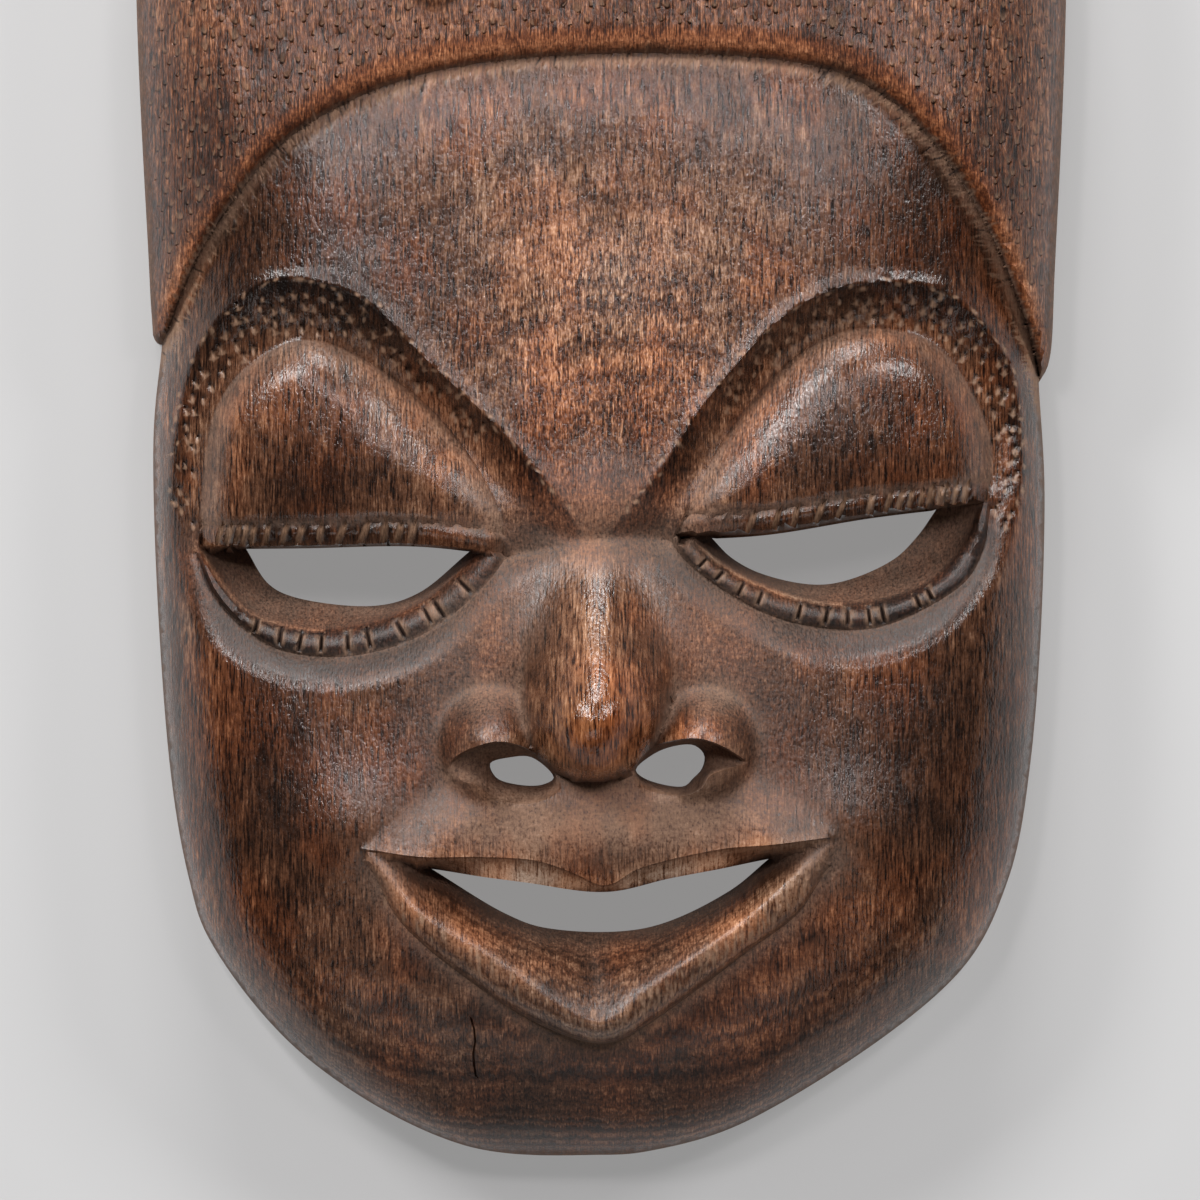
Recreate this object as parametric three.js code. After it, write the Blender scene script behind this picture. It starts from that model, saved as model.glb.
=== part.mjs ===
// A carved wooden face mask, lying face up on the flat back of its rim.
// Millimetres, +Z up out of the face, +Y towards the crown, +X to the photograph's right.
// It is one block of wood: a carved front, a hollow back, the side wall between them,
// and five openings cut right through it: two eyes, two nostrils and the mouth.

import * as THREE from 'three';
import { ConvexHull } from 'three/addons/math/ConvexHull.js';

// Driving dimensions. The face is laid out from the crease of the nose bridge, on the eye line.
const CHIN = -153.5;
const CROWN = 246.5;
const SIDE_HEIGHT = 15;
const RIM_WIDTH = 13;
const HOLLOW_ROUNDING = 38;

// The head's roundness: how fast it falls away sideways, and the quarter-round of its edge.
const FACE_ROUND = { bow: 0.00105, edge: 44, wideEdge: 12, rise: 46, blend: 7 };
const HAIR_ROUND = { bow: 0.00095, edge: 42, rise: 50, blend: 6 };
const HAIR_LIP = { narrow: 3.6, wide: 8 };

// Thickness of the wood left round the openings, and the shelf in the nostrils.
const EYE_LIP = 6;
const NOSTRIL_LIP = 18;
const NOSTRIL_SHELF = 61.5;
const MOUTH_LIP = 8;

// Relief of an upper lid with its lash band, of the bead under the eye, of the lips and of the cheeks.
const SOCKET_WIDTH = 11;
const LID = {
  floor: 7.2, rise: 5.2, run: 13, ball: 3, curl: 2.6, curlWidth: 9, band: 5.2, bandRise: 0.8, groove: 0.9,
};
const BEAD = { foot: 1.2, rise: 2.6, lean: 1.6, back: 2.8 };
const UPPER_EDGE = { bevel: 0.8, fall: 3 };
const LIP_RIDGE = { height: 59.3, rise: 1, peak: 0.8, fade: 0.14 };
const LIP_GROOVE = { depth: 1.8, width: 7 };
const BRIDGE = { reach: 36, above: 6, below: 3.2, depth: 1.4, ends: 2, swell: 2 };
const NOSE_ROUND = { top: 4, across: 1.9, crown: 0.66, flare: 1.2, flareFoot: -46, flareTop: -18 };
const MUZZLE_RISE = 4.2;
const MUZZLE_SWELL = 2;
const PHILTRUM = { depth: 0.9, width: 2.2, lean: 0.1 };
const CHEEKS = [[-63, -72], [62, -72]];
const CHEEK_RISE = 2.6;
const CHEEK_SIZE = [15, 14];

// Fineness of the mesh: sampled lines, rows beside a step, open areas, and how far a triangle may stray.
const FINE = 1.5;
const OUTLINE_STEP = 5;
const HOLE_STEP = 2.6;
const TIP_STEP = 1.4;
const STEP_GAP = 0.35;
const CLOSEST = 1.7;
const TOLERANCE = 0.5;
const OPEN_GRID = 12;

// Outline of the face, from the left hair tip round the chin, and of the hair, over the crown.
const FACE_EDGE = [[-110.8, 50.6], [-113, 26], [-109, -54], [-104, -84], [-99, -99], [-75, -128.5], [-35, -151],
  [0, CHIN], [12, -152.5], [36.5, -145], [89.5, -108], [102, -85], [108, -54], [111.5, 11], [110, 41]];
const HAIR_EDGE = [[110, 41], [112.4, 45.5], [114, 68], [116, 175], [108, 208], [88, 231], [55, 243], [0, CROWN],
  [-55, 243], [-88, 231], [-108, 208], [-116.5, 175], [-114, 68], [-113.1, 53]];
const HAIR_TIP = [[-113.1, 53], [-112.2, 51], [-110.8, 50.6]];
// The face's own edge runs on under the hair.
const FACE_UNDER_HAIR = [[110, 41], [108.8, 60], [107, 90], [98, 130], [60, 180], [-60, 180], [-98, 130],
  [-107.5, 90], [-110.2, 62], [-110.8, 50.6]];
const HAIRLINE = [[-113.5, 46], [-110.5, 51], [-100.5, 73.5], [-82, 98], [-68, 108], [-50.5, 115.5], [-30.5, 120],
  [9.5, 122.5], [47, 120.5], [62, 116.5], [74.5, 109], [93, 86], [106.5, 56], [112, 34]];
const LOCKS = [
  [[-41.5, 140], [-38, 160], [-28, 182], [-14, 200]],
  [[38, 146], [36, 162], [27, 184], [14, 200]],
];
const LOCK_WIDTH = 6;
const LOCK_HEIGHT = 3.6;

// Heights above the back of the rim along the middle of the mask: [place along Y, height].
const FACE_PROFILE = [[CHIN, 15], [-151, 25], [-146, 33.5], [-140, 39], [-130, 46], [-120, 51], [-100, 57],
  [-80, 60], [-60, 60.5], [-30, 60], [-5, 60.5], [10, 65], [30, 69], [60, 71], [90, 68.5], [122, 61], [150, 53]];
const HAIR_PROFILE = [[20, 70], [60, 74], [100, 73], [124, 69.5], [150, 67.5], [180, 63], [205, 56], [225, 46.5],
  [237, 37], [243, 28.5], [CROWN, 15]];
const HOLLOW_PROFILE = [[CHIN, 20], [-130, 25], [-100, 31], [-85, 32], [-60, 37], [-45, 38], [-25, 33], [-8, 30],
  [8, 31], [30, 35], [80, 42], [150, 42], [200, 36], [CROWN, 24]];

// Nose: its middle line, the height of its crest and half its width, each along Y.
const NOSE_FOOT = -58.8;
const NOSE_AXIS = [[-60, -1.8], [-50, -2.6], [-42, -1.8], [-30, -1], [-16, -1], [2, 0.2]];
const NOSE_CREST = [[NOSE_FOOT, 60], [-58.3, 68], [-57, 75], [-55, 80.5], [-52, 85], [-48, 88.6], [-44, 90],
  [-40, 89], [-36, 86.5], [-28, 80], [-18, 71.8], [-8, 64.5], [-1, 60.5], [4, 58]];
const NOSE_HALF_WIDTH = [[NOSE_FOOT, 3], [-57.5, 7.5], [-55.5, 11.2], [-52, 14.4], [-46, 17.2], [-38, 18.8],
  [-32, 18.8], [-24, 17.6], [-16, 15.6], [-8, 13], [2, 11]];
const WING_FOOT = 48;
const NOSE_WINGS = [
  { x: -27, y: -50, long: 15, wide: 15.6, height: 24, turn: 28 },
  { x: 25, y: -49.8, long: 14.8, wide: 15, height: 25, turn: -28 },
];
const BRIDGE_CREASE = [[-24, -3], [-14, -1.2], [-5, 0.4], [6, 0.9], [17.4, 1.4]];
const NOSTRILS = [
  {
    brow: [[-39.3, -58], [-36.3, -53], [-30, -50], [-25, -49.2], [-18, -51.3], [-12, -57]],
    ledge: [[-12, -57], [-10.5, -60.5], [-17, -64], [-26.5, -63], [-31.5, -59.5], [-39.3, -58]],
    hole: [[-28, -54.6], [-23, -53], [-17.5, -53], [-12, -58.2], [-15, -60], [-21, -60], [-26.5, -58.2]],
  },
  {
    brow: [[7.5, -56.4], [11.5, -51.2], [17.5, -49], [24, -48.4], [30, -50.4], [36.3, -54.4]],
    ledge: [[36.3, -54.4], [30.5, -55.6], [26.6, -57.2], [24.5, -60.4], [20, -62.2], [10, -60], [7.5, -56.4]],
    hole: [[8.4, -56.2], [12.5, -52.4], [17.5, -50.3], [23, -50], [25.6, -52.6], [25, -56], [22.8, -58.4],
      [20.5, -60.4], [10.8, -58.5]],
  },
];

// Eyes: the brow ridge all round, the upper lid, the lower lid's bead and the opening's lower edge.
const EYES = [
  {
    middle: [-66, 14],
    ball: [-60, 16, 42, 46],
    ridge: [[-5, 1], [-21, 24], [-43.5, 46], [-57.5, 60], [-68, 65], [-81, 66], [-89, 62.5], [-102, 47],
      [-107.5, -6], [-96, -28], [-68, -37], [-42, -30], [-22, -12], [-12, -4]],
    lid: [[-24, -2.2], [-25.5, 8], [-43, 34], [-72, 51], [-86, 46.5], [-96, 35], [-99.5, 18], [-100.8, -0.4]],
    lidEdge: [[-100.8, -0.4], [-75, -0.2], [-46, 0.2], [-24, -2.2]],
    holeEdge: [[-89.5, -0.9], [-84, -9.5], [-78, -12.8], [-57, -15.2], [-46, -12], [-33.2, -1.6]],
    beadInside: [[-100.2, -1], [-94, -11], [-87, -17.5], [-68, -21.3], [-46, -15], [-30, -1.6]],
    beadOutside: [[-101.5, -2.2], [-97, -12.2], [-89, -21], [-81, -26], [-68, -28], [-57, -26.8], [-46, -23],
      [-35.5, -16], [-27, -7.5], [-24, -3]],
    // The fall inside the ridge: angle about the middle, depth, and 1 if it is gouged or 0 if it is soft.
    fall: [[-15, 2, 0], [5, 6, 0.4], [24, 9.4, 0.9], [45, 10, 1], [68, 9, 1], [95, 7.8, 1], [125, 6, 1], [150, 5, 1],
      [180, 4.5, 1], [205, 4, 0.3], [235, 4.5, 0], [268, 5.5, 0], [300, 5, 0], [325, 3.6, 0]],
  },
  {
    middle: [64, 17],
    ball: [60, 21, 40, 44],
    ridge: [[2, 1], [8, 10], [18.5, 24], [23, 32], [43, 55], [52.5, 61.5], [64, 65], [85, 63.5], [100, 49],
      [104, 39], [102.5, -2.5], [90, -20], [80, -27], [66, -31], [52, -30], [28, -19], [9, -4]],
    lid: [[17.8, 1.8], [31, 27], [47.5, 46], [62, 53.6], [79, 52.2], [87, 46.5], [96.5, 29], [97.8, 19],
      [96.5, 10.8]],
    lidEdge: [[96.5, 10.8], [68, 7.4], [41, 3.1], [17.8, 1.8]],
    holeEdge: [[27.5, 1.8], [32.5, -3.2], [41, -7.5], [56.5, -9.8], [72.5, -4], [79, 2], [84, 9]],
    beadInside: [[22.5, 1.6], [31, -5.8], [47.5, -13], [64, -14.8], [81, -10], [91.5, 1.2], [94.6, 10.4]],
    beadOutside: [[16.8, 0.8], [24, -6.8], [43.5, -18.2], [64, -21.2], [74, -19], [91, -9], [95.5, -0.8],
      [97.2, 9]],
    fall: [[195, 2, 0], [175, 6, 0.4], [156, 9.4, 0.9], [135, 10, 1], [112, 9, 1], [85, 7.8, 1], [55, 6.5, 1],
      [30, 6, 1], [0, 6, 0.7], [-25, 5.5, 0.3], [-55, 5.5, 0], [-88, 5.5, 0], [-120, 5, 0], [-145, 3.6, 0]],
  },
];

// Mouth: the muzzle above it, the upper lip's edge, the opening, and the lower lip's ridge and foot.
const MUZZLE = [[-60.5, -76], [-55.5, -73], [-45, -63], [-38.5, -59], [-30, -54], [8, -52], [28, -51], [45, -61],
  [58, -70.5], [59.5, -73.5]];
const UPPER_LIP = [[-59.5, -76], [-45, -78], [-30, -78], [-16, -79], [-6, -82.5], [-0.5, -85], [3, -84.5],
  [9, -81], [30, -76], [42, -75], [58, -73]];
const MOUTH_TOP = [[-43, -81], [-20, -84], [1, -86.5], [17.5, -83], [42, -78.5]];
const MOUTH_BOTTOM = [[-43, -81], [-24, -92.5], [-14, -96], [11, -96], [31.5, -87], [42, -78.5]];
const LOWER_LIP = [[-59.5, -76], [-52.5, -83.5], [-46.5, -91], [-28, -102.5], [-4.5, -118], [0, -119],
  [4.5, -117], [8.5, -113], [34, -95], [49.5, -81.5], [58, -73]];
const LIP_FOOT = [[-57, -82], [-51.5, -92.5], [-43.8, -100.5], [-35.5, -107], [-25.5, -114.2], [-15, -120],
  [-4.8, -124], [2, -124.4], [8, -122], [24.5, -110.5], [37, -101], [48.8, -92], [56, -81]];

// Small number helpers.
const TINY = 1e-6;
const clamp = (value, low, high) => Math.min(high, Math.max(low, value));
const mix = (a, b, share) => a + (b - a) * share;

function ease(from, to, value) {
  const t = clamp((value - from) / (to - from), 0, 1);
  return t * t * (3 - 2 * t);
}

function softMax(a, b, width) {
  const h = clamp(0.5 + (0.5 * (a - b)) / width, 0, 1);
  return mix(b, a, h) + width * h * (1 - h);
}

const softMin = (a, b, width) => -softMax(-a, -b, width);

// A quarter-round: 0 at 0, level at 1.
function quarter(share, power = 2) {
  return (1 - (1 - clamp(share, 0, 1)) ** power) ** (1 / power);
}

// A smooth curve through [place, value] pairs that never overshoots them.
function profile(pairs) {
  const sorted = [...pairs].sort((a, b) => a[0] - b[0]);
  const places = sorted.map((pair) => pair[0]);
  const values = sorted.map((pair) => pair[1]);
  const last = places.length - 1;
  const widths = places.slice(1).map((place, i) => place - places[i]);
  const slopes = widths.map((width, i) => (values[i + 1] - values[i]) / width);
  const tangents = values.map((_, i) => {
    if (i === 0) return slopes[0];
    if (i === last) return slopes[last - 1];
    if (slopes[i - 1] * slopes[i] <= 0) return 0;
    return (widths[i - 1] + widths[i]) / (widths[i - 1] / slopes[i - 1] + widths[i] / slopes[i]);
  });
  return (place) => {
    let i = 0;
    while (i < last - 1 && place > places[i + 1]) i += 1;
    const t = clamp((place - places[i]) / widths[i], 0, 1);
    const rest = 1 - t;
    return values[i] * (1 + 2 * t) * rest * rest + widths[i] * tangents[i] * t * rest * rest
      + values[i + 1] * t * t * (3 - 2 * t) - widths[i] * tangents[i + 1] * t * t * rest;
  };
}

// The same for values set round a full turn, in degrees.
function ringProfile(rows, column) {
  const pairs = rows.map((row) => [(row[0] + 360) % 360, row[column]]).sort((a, b) => a[0] - b[0]);
  const first = pairs[0];
  const final = pairs[pairs.length - 1];
  return profile([[final[0] - 360, final[1]], ...pairs, [first[0] + 360, first[1]]]);
}

// Lines: a smooth line through points, its nearest place, and the test for being inside a loop.
function smoothLine(points, step, closed = false) {
  const vectors = points.map(([x, y]) => new THREE.Vector3(x, y, 0));
  const curve = new THREE.CatmullRomCurve3(vectors, closed, 'centripetal');
  const pieces = Math.max(2, Math.ceil(curve.getLength() / step));
  const line = curve.getSpacedPoints(pieces).map((point) => [point.x, point.y]);
  if (closed) line.pop();
  return line;
}

// One loop out of lines that each end where the next one starts.
function joinLoop(...lines) {
  return lines.flatMap((line) => line.slice(0, -1));
}

function towards(line, [x, y]) {
  const start = Math.hypot(line[0][0] - x, line[0][1] - y);
  const end = Math.hypot(line[line.length - 1][0] - x, line[line.length - 1][1] - y);
  return start <= end ? line : [...line].reverse();
}

function nearest(line, x, y, closed = false) {
  const count = closed ? line.length : line.length - 1;
  let best = Infinity;
  let side = 0;
  let share = 0;
  for (let i = 0; i < count; i += 1) {
    const [ax, ay] = line[i];
    const [bx, by] = line[(i + 1) % line.length];
    const dx = bx - ax;
    const dy = by - ay;
    const t = clamp(((x - ax) * dx + (y - ay) * dy) / (dx * dx + dy * dy), 0, 1);
    const gap = (x - ax - t * dx) ** 2 + (y - ay - t * dy) ** 2;
    if (gap < best) {
      best = gap;
      side = Math.sign(dx * (y - ay) - dy * (x - ax));
      share = (i + t) / count;
    }
  }
  return { distance: Math.sqrt(best), side, share };
}

// The plan size of each loop, so that far places are passed over at once.
const extents = new Map();

function extentOf(loop) {
  if (!extents.has(loop)) {
    extents.set(loop, new THREE.Box2().setFromPoints(loop.map(([x, y]) => new THREE.Vector2(x, y))));
  }
  return extents.get(loop);
}

function inside(loop, x, y) {
  const { min, max } = extentOf(loop);
  if (x < min.x || x > max.x || y < min.y || y > max.y) return false;
  let odd = false;
  for (let i = 0, j = loop.length - 1; i < loop.length; j = i, i += 1) {
    const [ax, ay] = loop[i];
    const [bx, by] = loop[j];
    if ((ay > y) !== (by > y) && x < ((bx - ax) * (y - ay)) / (by - ay) + ax) odd = !odd;
  }
  return odd;
}

const gapTo = (line, x, y, closed = false) => nearest(line, x, y, closed).distance;
const hump = (x, y, cx, cy, rx, ry) => Math.exp(-(((x - cx) / rx) ** 2) - ((y - cy) / ry) ** 2);

// The lines that the carving is made from.
const hairEdge = joinLoop(smoothLine(HAIR_EDGE, OUTLINE_STEP), smoothLine(HAIR_TIP, TIP_STEP));
const outline = [...joinLoop(smoothLine(FACE_EDGE, OUTLINE_STEP)), ...hairEdge];
const faceOutline = joinLoop(smoothLine(FACE_EDGE, FINE), smoothLine(FACE_UNDER_HAIR, FINE));
const hairline = smoothLine(HAIRLINE, FINE);
const locks = LOCKS.map((lock) => smoothLine(lock, FINE));
const crease = smoothLine(BRIDGE_CREASE, FINE);
const muzzleLine = smoothLine(MUZZLE, FINE);
const upperLip = smoothLine(UPPER_LIP, FINE);
const mouthTop = smoothLine(MOUTH_TOP, FINE);
const mouthBottom = smoothLine(MOUTH_BOTTOM, FINE);
const lowerLip = smoothLine(LOWER_LIP, FINE);
const lipFoot = smoothLine(LIP_FOOT, FINE);
const muzzle = [...muzzleLine, ...towards(upperLip, MUZZLE[MUZZLE.length - 1])];
const mouthArea = [...upperLip, ...towards(lowerLip, UPPER_LIP[UPPER_LIP.length - 1])];
const underUpperLip = [...upperLip, ...towards(mouthTop, UPPER_LIP[UPPER_LIP.length - 1])];
const lipFront = [...lowerLip, ...towards(lipFoot, LOWER_LIP[LOWER_LIP.length - 1])];
const mouthHole = joinLoop(smoothLine(MOUTH_TOP, HOLE_STEP), [...smoothLine(MOUTH_BOTTOM, HOLE_STEP)].reverse());

function eyeLines(eye) {
  const lidEdge = smoothLine(eye.lidEdge, FINE);
  const holeEdge = smoothLine(eye.holeEdge, HOLE_STEP);
  const first = holeEdge[0][0];
  const final = holeEdge[holeEdge.length - 1][0];
  const top = smoothLine(eye.lidEdge, HOLE_STEP)
    .filter(([x]) => x > Math.min(first, final) + 1 && x < Math.max(first, final) - 1)
    .map(([x, y]) => [x, y - 2 * STEP_GAP]);
  const beadInside = smoothLine(eye.beadInside, FINE);
  const beadOutside = smoothLine(eye.beadOutside, FINE);
  const endOfBead = beadInside[beadInside.length - 1];
  return {
    ...eye,
    ridge: smoothLine(eye.ridge, FINE, true),
    lid: smoothLine(eye.lid, FINE),
    lidEdge,
    lidLoop: [...smoothLine(eye.lid, FINE), ...lidEdge],
    holeEdge: smoothLine(eye.holeEdge, FINE),
    hole: [...holeEdge, ...towards(top, holeEdge[holeEdge.length - 1])],
    beadInside,
    beadOutside,
    wallLoop: [...beadInside, ...towards(lidEdge, endOfBead)],
    beadLoop: [...beadOutside, ...towards(lidEdge, endOfBead)],
    depth: ringProfile(eye.fall, 1),
    cove: ringProfile(eye.fall, 2),
  };
}

const eyes = EYES.map(eyeLines);
const nostrils = NOSTRILS.map((nostril) => ({
  area: joinLoop(smoothLine(nostril.brow, FINE), smoothLine(nostril.ledge, FINE)),
  hole: smoothLine(nostril.hole, HOLE_STEP, true),
}));
const holes = [...eyes.map((eye) => eye.hole), ...nostrils.map((nostril) => nostril.hole), mouthHole];

const faceMiddle = profile(FACE_PROFILE);
const hairMiddle = profile(HAIR_PROFILE);
const hollowMiddle = profile(HOLLOW_PROFILE);
const noseAxis = profile(NOSE_AXIS);
const noseCrest = profile(NOSE_CREST);
const noseHalfWidth = profile(NOSE_HALF_WIDTH);

// The hollow back.
function backHeight(x, y) {
  const reach = gapTo(outline, x, y, true) - RIM_WIDTH;
  return hollowMiddle(y) * quarter(reach / HOLLOW_ROUNDING);
}

// A domed surface whose edge is a quarter-round standing on the side wall.
function dome(middle, reach, radius, { rise, blend }) {
  const surface = softMin(middle, SIDE_HEIGHT + rise * quarter(reach / radius), blend);
  return reach <= 0 ? SIDE_HEIGHT : mix(SIDE_HEIGHT, surface, ease(-0.5, 1.2, reach));
}

// The plain dome of the face, with the hair standing proud of it above the hairline.
function headHeight(x, y) {
  const inFace = inside(faceOutline, x, y) ? gapTo(faceOutline, x, y, true) : 0;
  const inHair = inside(outline, x, y) ? gapTo(outline, x, y, true) : 0;
  const faceEdge = FACE_ROUND.edge + FACE_ROUND.wideEdge * ease(-20, 60, x);
  const face = dome(faceMiddle(y) - FACE_ROUND.bow * x * x, inFace, faceEdge, FACE_ROUND);
  const { distance, side, share } = nearest(hairline, x, y);
  if (side <= 0) return face;
  const hair = dome(hairMiddle(y) - HAIR_ROUND.bow * x * x, inHair, HAIR_ROUND.edge, HAIR_ROUND);
  const lip = mix(HAIR_LIP.narrow, HAIR_LIP.wide, ease(0.15, 0.7, 1 - Math.abs(2 * share - 1)));
  let height = mix(face, hair, quarter(distance / lip, 2.2));
  for (const lock of locks) {
    height += LOCK_HEIGHT * Math.sqrt(clamp(1 - (gapTo(lock, x, y) / LOCK_WIDTH) ** 2, 0, 1));
  }
  return height;
}

function addBridge(height, x, y) {
  if (Math.abs(x) > BRIDGE.reach || Math.abs(y) > BRIDGE.reach) return height;
  const { distance, side, share } = nearest(crease, x, y);
  const groove = Math.exp(-((distance / (side > 0 ? BRIDGE.above : BRIDGE.below)) ** 1.3));
  const depth = BRIDGE.depth + BRIDGE.ends * Math.abs(2 * share - 1);
  const within = ease(-29, -22, x) * ease(22, 15, x);
  return height + BRIDGE.swell * hump(x, y, 0, 9, 11, 9) - depth * within * groove;
}

function addNose(height, x, y) {
  const crest = noseCrest(y);
  if (y > NOSE_ROUND.top || y < NOSE_FOOT || crest <= height) return height;
  const off = Math.abs(x - noseAxis(y)) / noseHalfWidth(y);
  const bulb = (1 - Math.min(off, 1) ** NOSE_ROUND.across) ** NOSE_ROUND.crown;
  const flare = Math.exp(-((off * NOSE_ROUND.flare) ** 2.2));
  return height + (crest - height) * mix(bulb, flare, ease(NOSE_ROUND.flareFoot, NOSE_ROUND.flareTop, y));
}

function addWings(height, x, y) {
  let result = height;
  for (const wing of NOSE_WINGS) {
    const turn = THREE.MathUtils.degToRad(wing.turn);
    const u = ((x - wing.x) * Math.cos(turn) + (y - wing.y) * Math.sin(turn)) / wing.long;
    const v = (-(x - wing.x) * Math.sin(turn) + (y - wing.y) * Math.cos(turn)) / wing.wide;
    const room = clamp(1 - u * u - v * v, 0, 1);
    if (room > 0) result = softMax(result, WING_FOOT + wing.height * room ** 0.7, 8);
  }
  return result;
}

function muzzleRise(x, y) {
  const reach = gapTo(muzzleLine, x, y);
  const across = x + 2 + PHILTRUM.lean * (y + 70);
  const philtrum = PHILTRUM.depth * Math.exp(-((across / PHILTRUM.width) ** 2)) * ease(-60, -66, y);
  const middle = MUZZLE_SWELL * hump(x, y, 0, -72, 20, 9) - philtrum;
  return MUZZLE_RISE * ease(-1, 13, reach) + middle * ease(0, 5, reach);
}

function addMuzzle(height, x, y, onMuzzle) {
  const cheeks = CHEEKS.reduce((sum, place) => sum + CHEEK_RISE * hump(x, y, ...place, ...CHEEK_SIZE), 0);
  return height + cheeks + (onMuzzle ? muzzleRise(x, y) : 0);
}

// One eye: the gouged cove under the brow, the lid with its lash band, the bead and the opening's wall.
function carveEye(height, x, y, eye) {
  if (!inside(eye.ridge, x, y)) return height;
  const angle = (THREE.MathUtils.radToDeg(Math.atan2(y - eye.middle[1], x - eye.middle[0])) + 360) % 360;
  const reach = gapTo(eye.ridge, x, y, true);
  const onLid = inside(eye.lidLoop, x, y);
  const depth = mix(eye.depth(angle), LID.floor, ease(9, 26, reach));
  const share = reach / (reach + (onLid ? 0 : gapTo(eye.lid, x, y)) + TINY);
  const slope = 1 - Math.max(0, 1 - (1.2 * share * share) / (share + 0.2)) ** 1.8;
  const floor = height - depth * mix(ease(0, SOCKET_WIDTH, reach), slope, eye.cove(angle));
  if (onLid) return lidHeight(floor, x, y, eye);
  const toOutside = gapTo(eye.beadOutside, x, y);
  if (!inside(eye.beadLoop, x, y)) return floor - 0.8 * Math.exp(-(toOutside ** 2));
  const toInside = gapTo(eye.beadInside, x, y);
  if (inside(eye.wallLoop, x, y)) {
    const edge = backHeight(x, y) + EYE_LIP;
    const down = toInside / (toInside + gapTo(eye.holeEdge, x, y) + TINY);
    return mix(floor - BEAD.back, edge, down ** 0.75);
  }
  const across = toOutside / (toOutside + toInside + TINY);
  return floor - BEAD.foot + BEAD.rise * Math.sin(Math.PI * across) ** 0.8 - BEAD.lean * across;
}

function lidHeight(floor, x, y, eye) {
  const toBorder = gapTo(eye.lid, x, y);
  const toEdge = gapTo(eye.lidEdge, x, y);
  const [ballX, ballY, ballWidth, ballLength] = eye.ball;
  const bulge = LID.ball * clamp(1 - ((x - ballX) / ballWidth) ** 2 - ((y - ballY) / ballLength) ** 2, 0, 1);
  const curl = LID.curl * clamp(1 - toEdge / LID.curlWidth, 0, 1) ** 2;
  const bandGroove = LID.groove * Math.exp(-(((toEdge - LID.band) / 0.8) ** 2));
  const band = LID.bandRise * Math.sin(Math.PI * clamp(toEdge / LID.band, 0, 1));
  const shoulder = LID.rise * (1 - Math.max(0, 1 - toBorder / LID.run) ** 2.4);
  return floor - 0.6 + shoulder + bulge - curl - bandGroove + band;
}

function carveNostril(height, x, y, nostril) {
  if (!inside(nostril.area, x, y)) return height;
  const toBrow = gapTo(nostril.area, x, y, true);
  const down = toBrow / (toBrow + gapTo(nostril.hole, x, y, true) + TINY);
  return Math.min(height, mix(NOSTRIL_SHELF, backHeight(x, y) + NOSTRIL_LIP, down ** 1.3));
}

function carveMouth(height, x, y, onMuzzle) {
  if (y > -58) return height;
  const edge = backHeight(x, y) + MOUTH_LIP;
  const { distance: toTop, share: along } = nearest(mouthTop, x, y);
  if (inside(underUpperLip, x, y) || toTop < 0.1) {
    const toLip = gapTo(upperLip, x, y);
    const front = height + muzzleRise(x, y) - UPPER_EDGE.bevel;
    const back = mix(edge, front - UPPER_EDGE.fall, ease(0, 0.35, 1 - Math.abs(2 * along - 1)));
    return mix(front, back, toLip / (toLip + toTop + TINY));
  }
  const { distance: toRidge, share } = nearest(lowerLip, x, y);
  const middle = 1 - Math.abs(2 * share - 1);
  const crest = LIP_RIDGE.height + LIP_RIDGE.rise * ease(0, 0.5, middle) + LIP_RIDGE.peak * ease(0.6, 1, middle);
  const ridge = mix(height, crest, ease(0, LIP_RIDGE.fade, middle));
  if (inside(mouthArea, x, y)) {
    return mix(ridge, edge, (toRidge / (gapTo(mouthBottom, x, y) + toRidge + TINY)) ** 1.5);
  }
  const toFoot = gapTo(lipFoot, x, y);
  if (inside(lipFront, x, y)) {
    const down = toRidge / (toRidge + toFoot + TINY);
    return mix(ridge, height - LIP_GROOVE.depth, 1 - quarter(1 - down, 1.8));
  }
  return onMuzzle ? height : height - LIP_GROOVE.depth * Math.exp(-((toFoot / LIP_GROOVE.width) ** 1.5));
}

// The whole carved front.
function frontHeight(x, y) {
  const onMuzzle = inside(muzzle, x, y);
  let height = addBridge(headHeight(x, y), x, y);
  height = addWings(addNose(height, x, y), x, y);
  height = addMuzzle(height, x, y, onMuzzle);
  for (const eye of eyes) height = carveEye(height, x, y, eye);
  for (const nostril of nostrils) height = carveNostril(height, x, y, nostril);
  return carveMouth(height, x, y, onMuzzle);
}

// A set of points on the plan that keeps them a given gap apart.
class PointSet {
  constructor() {
    this.points = [];
    this.cells = new Map();
  }

  static key(x, y) {
    return `${Math.floor(x / 4)},${Math.floor(y / 4)}`;
  }

  isClear(x, y, gap) {
    const reach = Math.ceil(gap / 4);
    for (let i = -reach; i <= reach; i += 1) {
      for (let j = -reach; j <= reach; j += 1) {
        const near = this.cells.get(PointSet.key(x + 4 * i, y + 4 * j)) ?? [];
        if (near.some((point) => Math.hypot(point[0] - x, point[1] - y) < gap)) return false;
      }
    }
    return true;
  }

  add(x, y, gap = 0) {
    if (gap > 0 && !this.isClear(x, y, gap)) return;
    const key = PointSet.key(x, y);
    const point = [x, y];
    this.points.push(point);
    this.cells.set(key, [...(this.cells.get(key) ?? []), point]);
  }
}

const inWood = (x, y) => inside(outline, x, y) && !holes.some((hole) => inside(hole, x, y));
const loops = [outline, ...holes];

// A point inside the circle on a loop's edge would keep that edge out of the triangles.
function crowdsLoop(x, y) {
  return loops.some((loop) => loop.some(([ax, ay], i) => {
    const [bx, by] = loop[(i + 1) % loop.length];
    return (ax - x) * (bx - x) + (ay - y) * (by - y) < 0.1;
  }));
}

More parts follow.
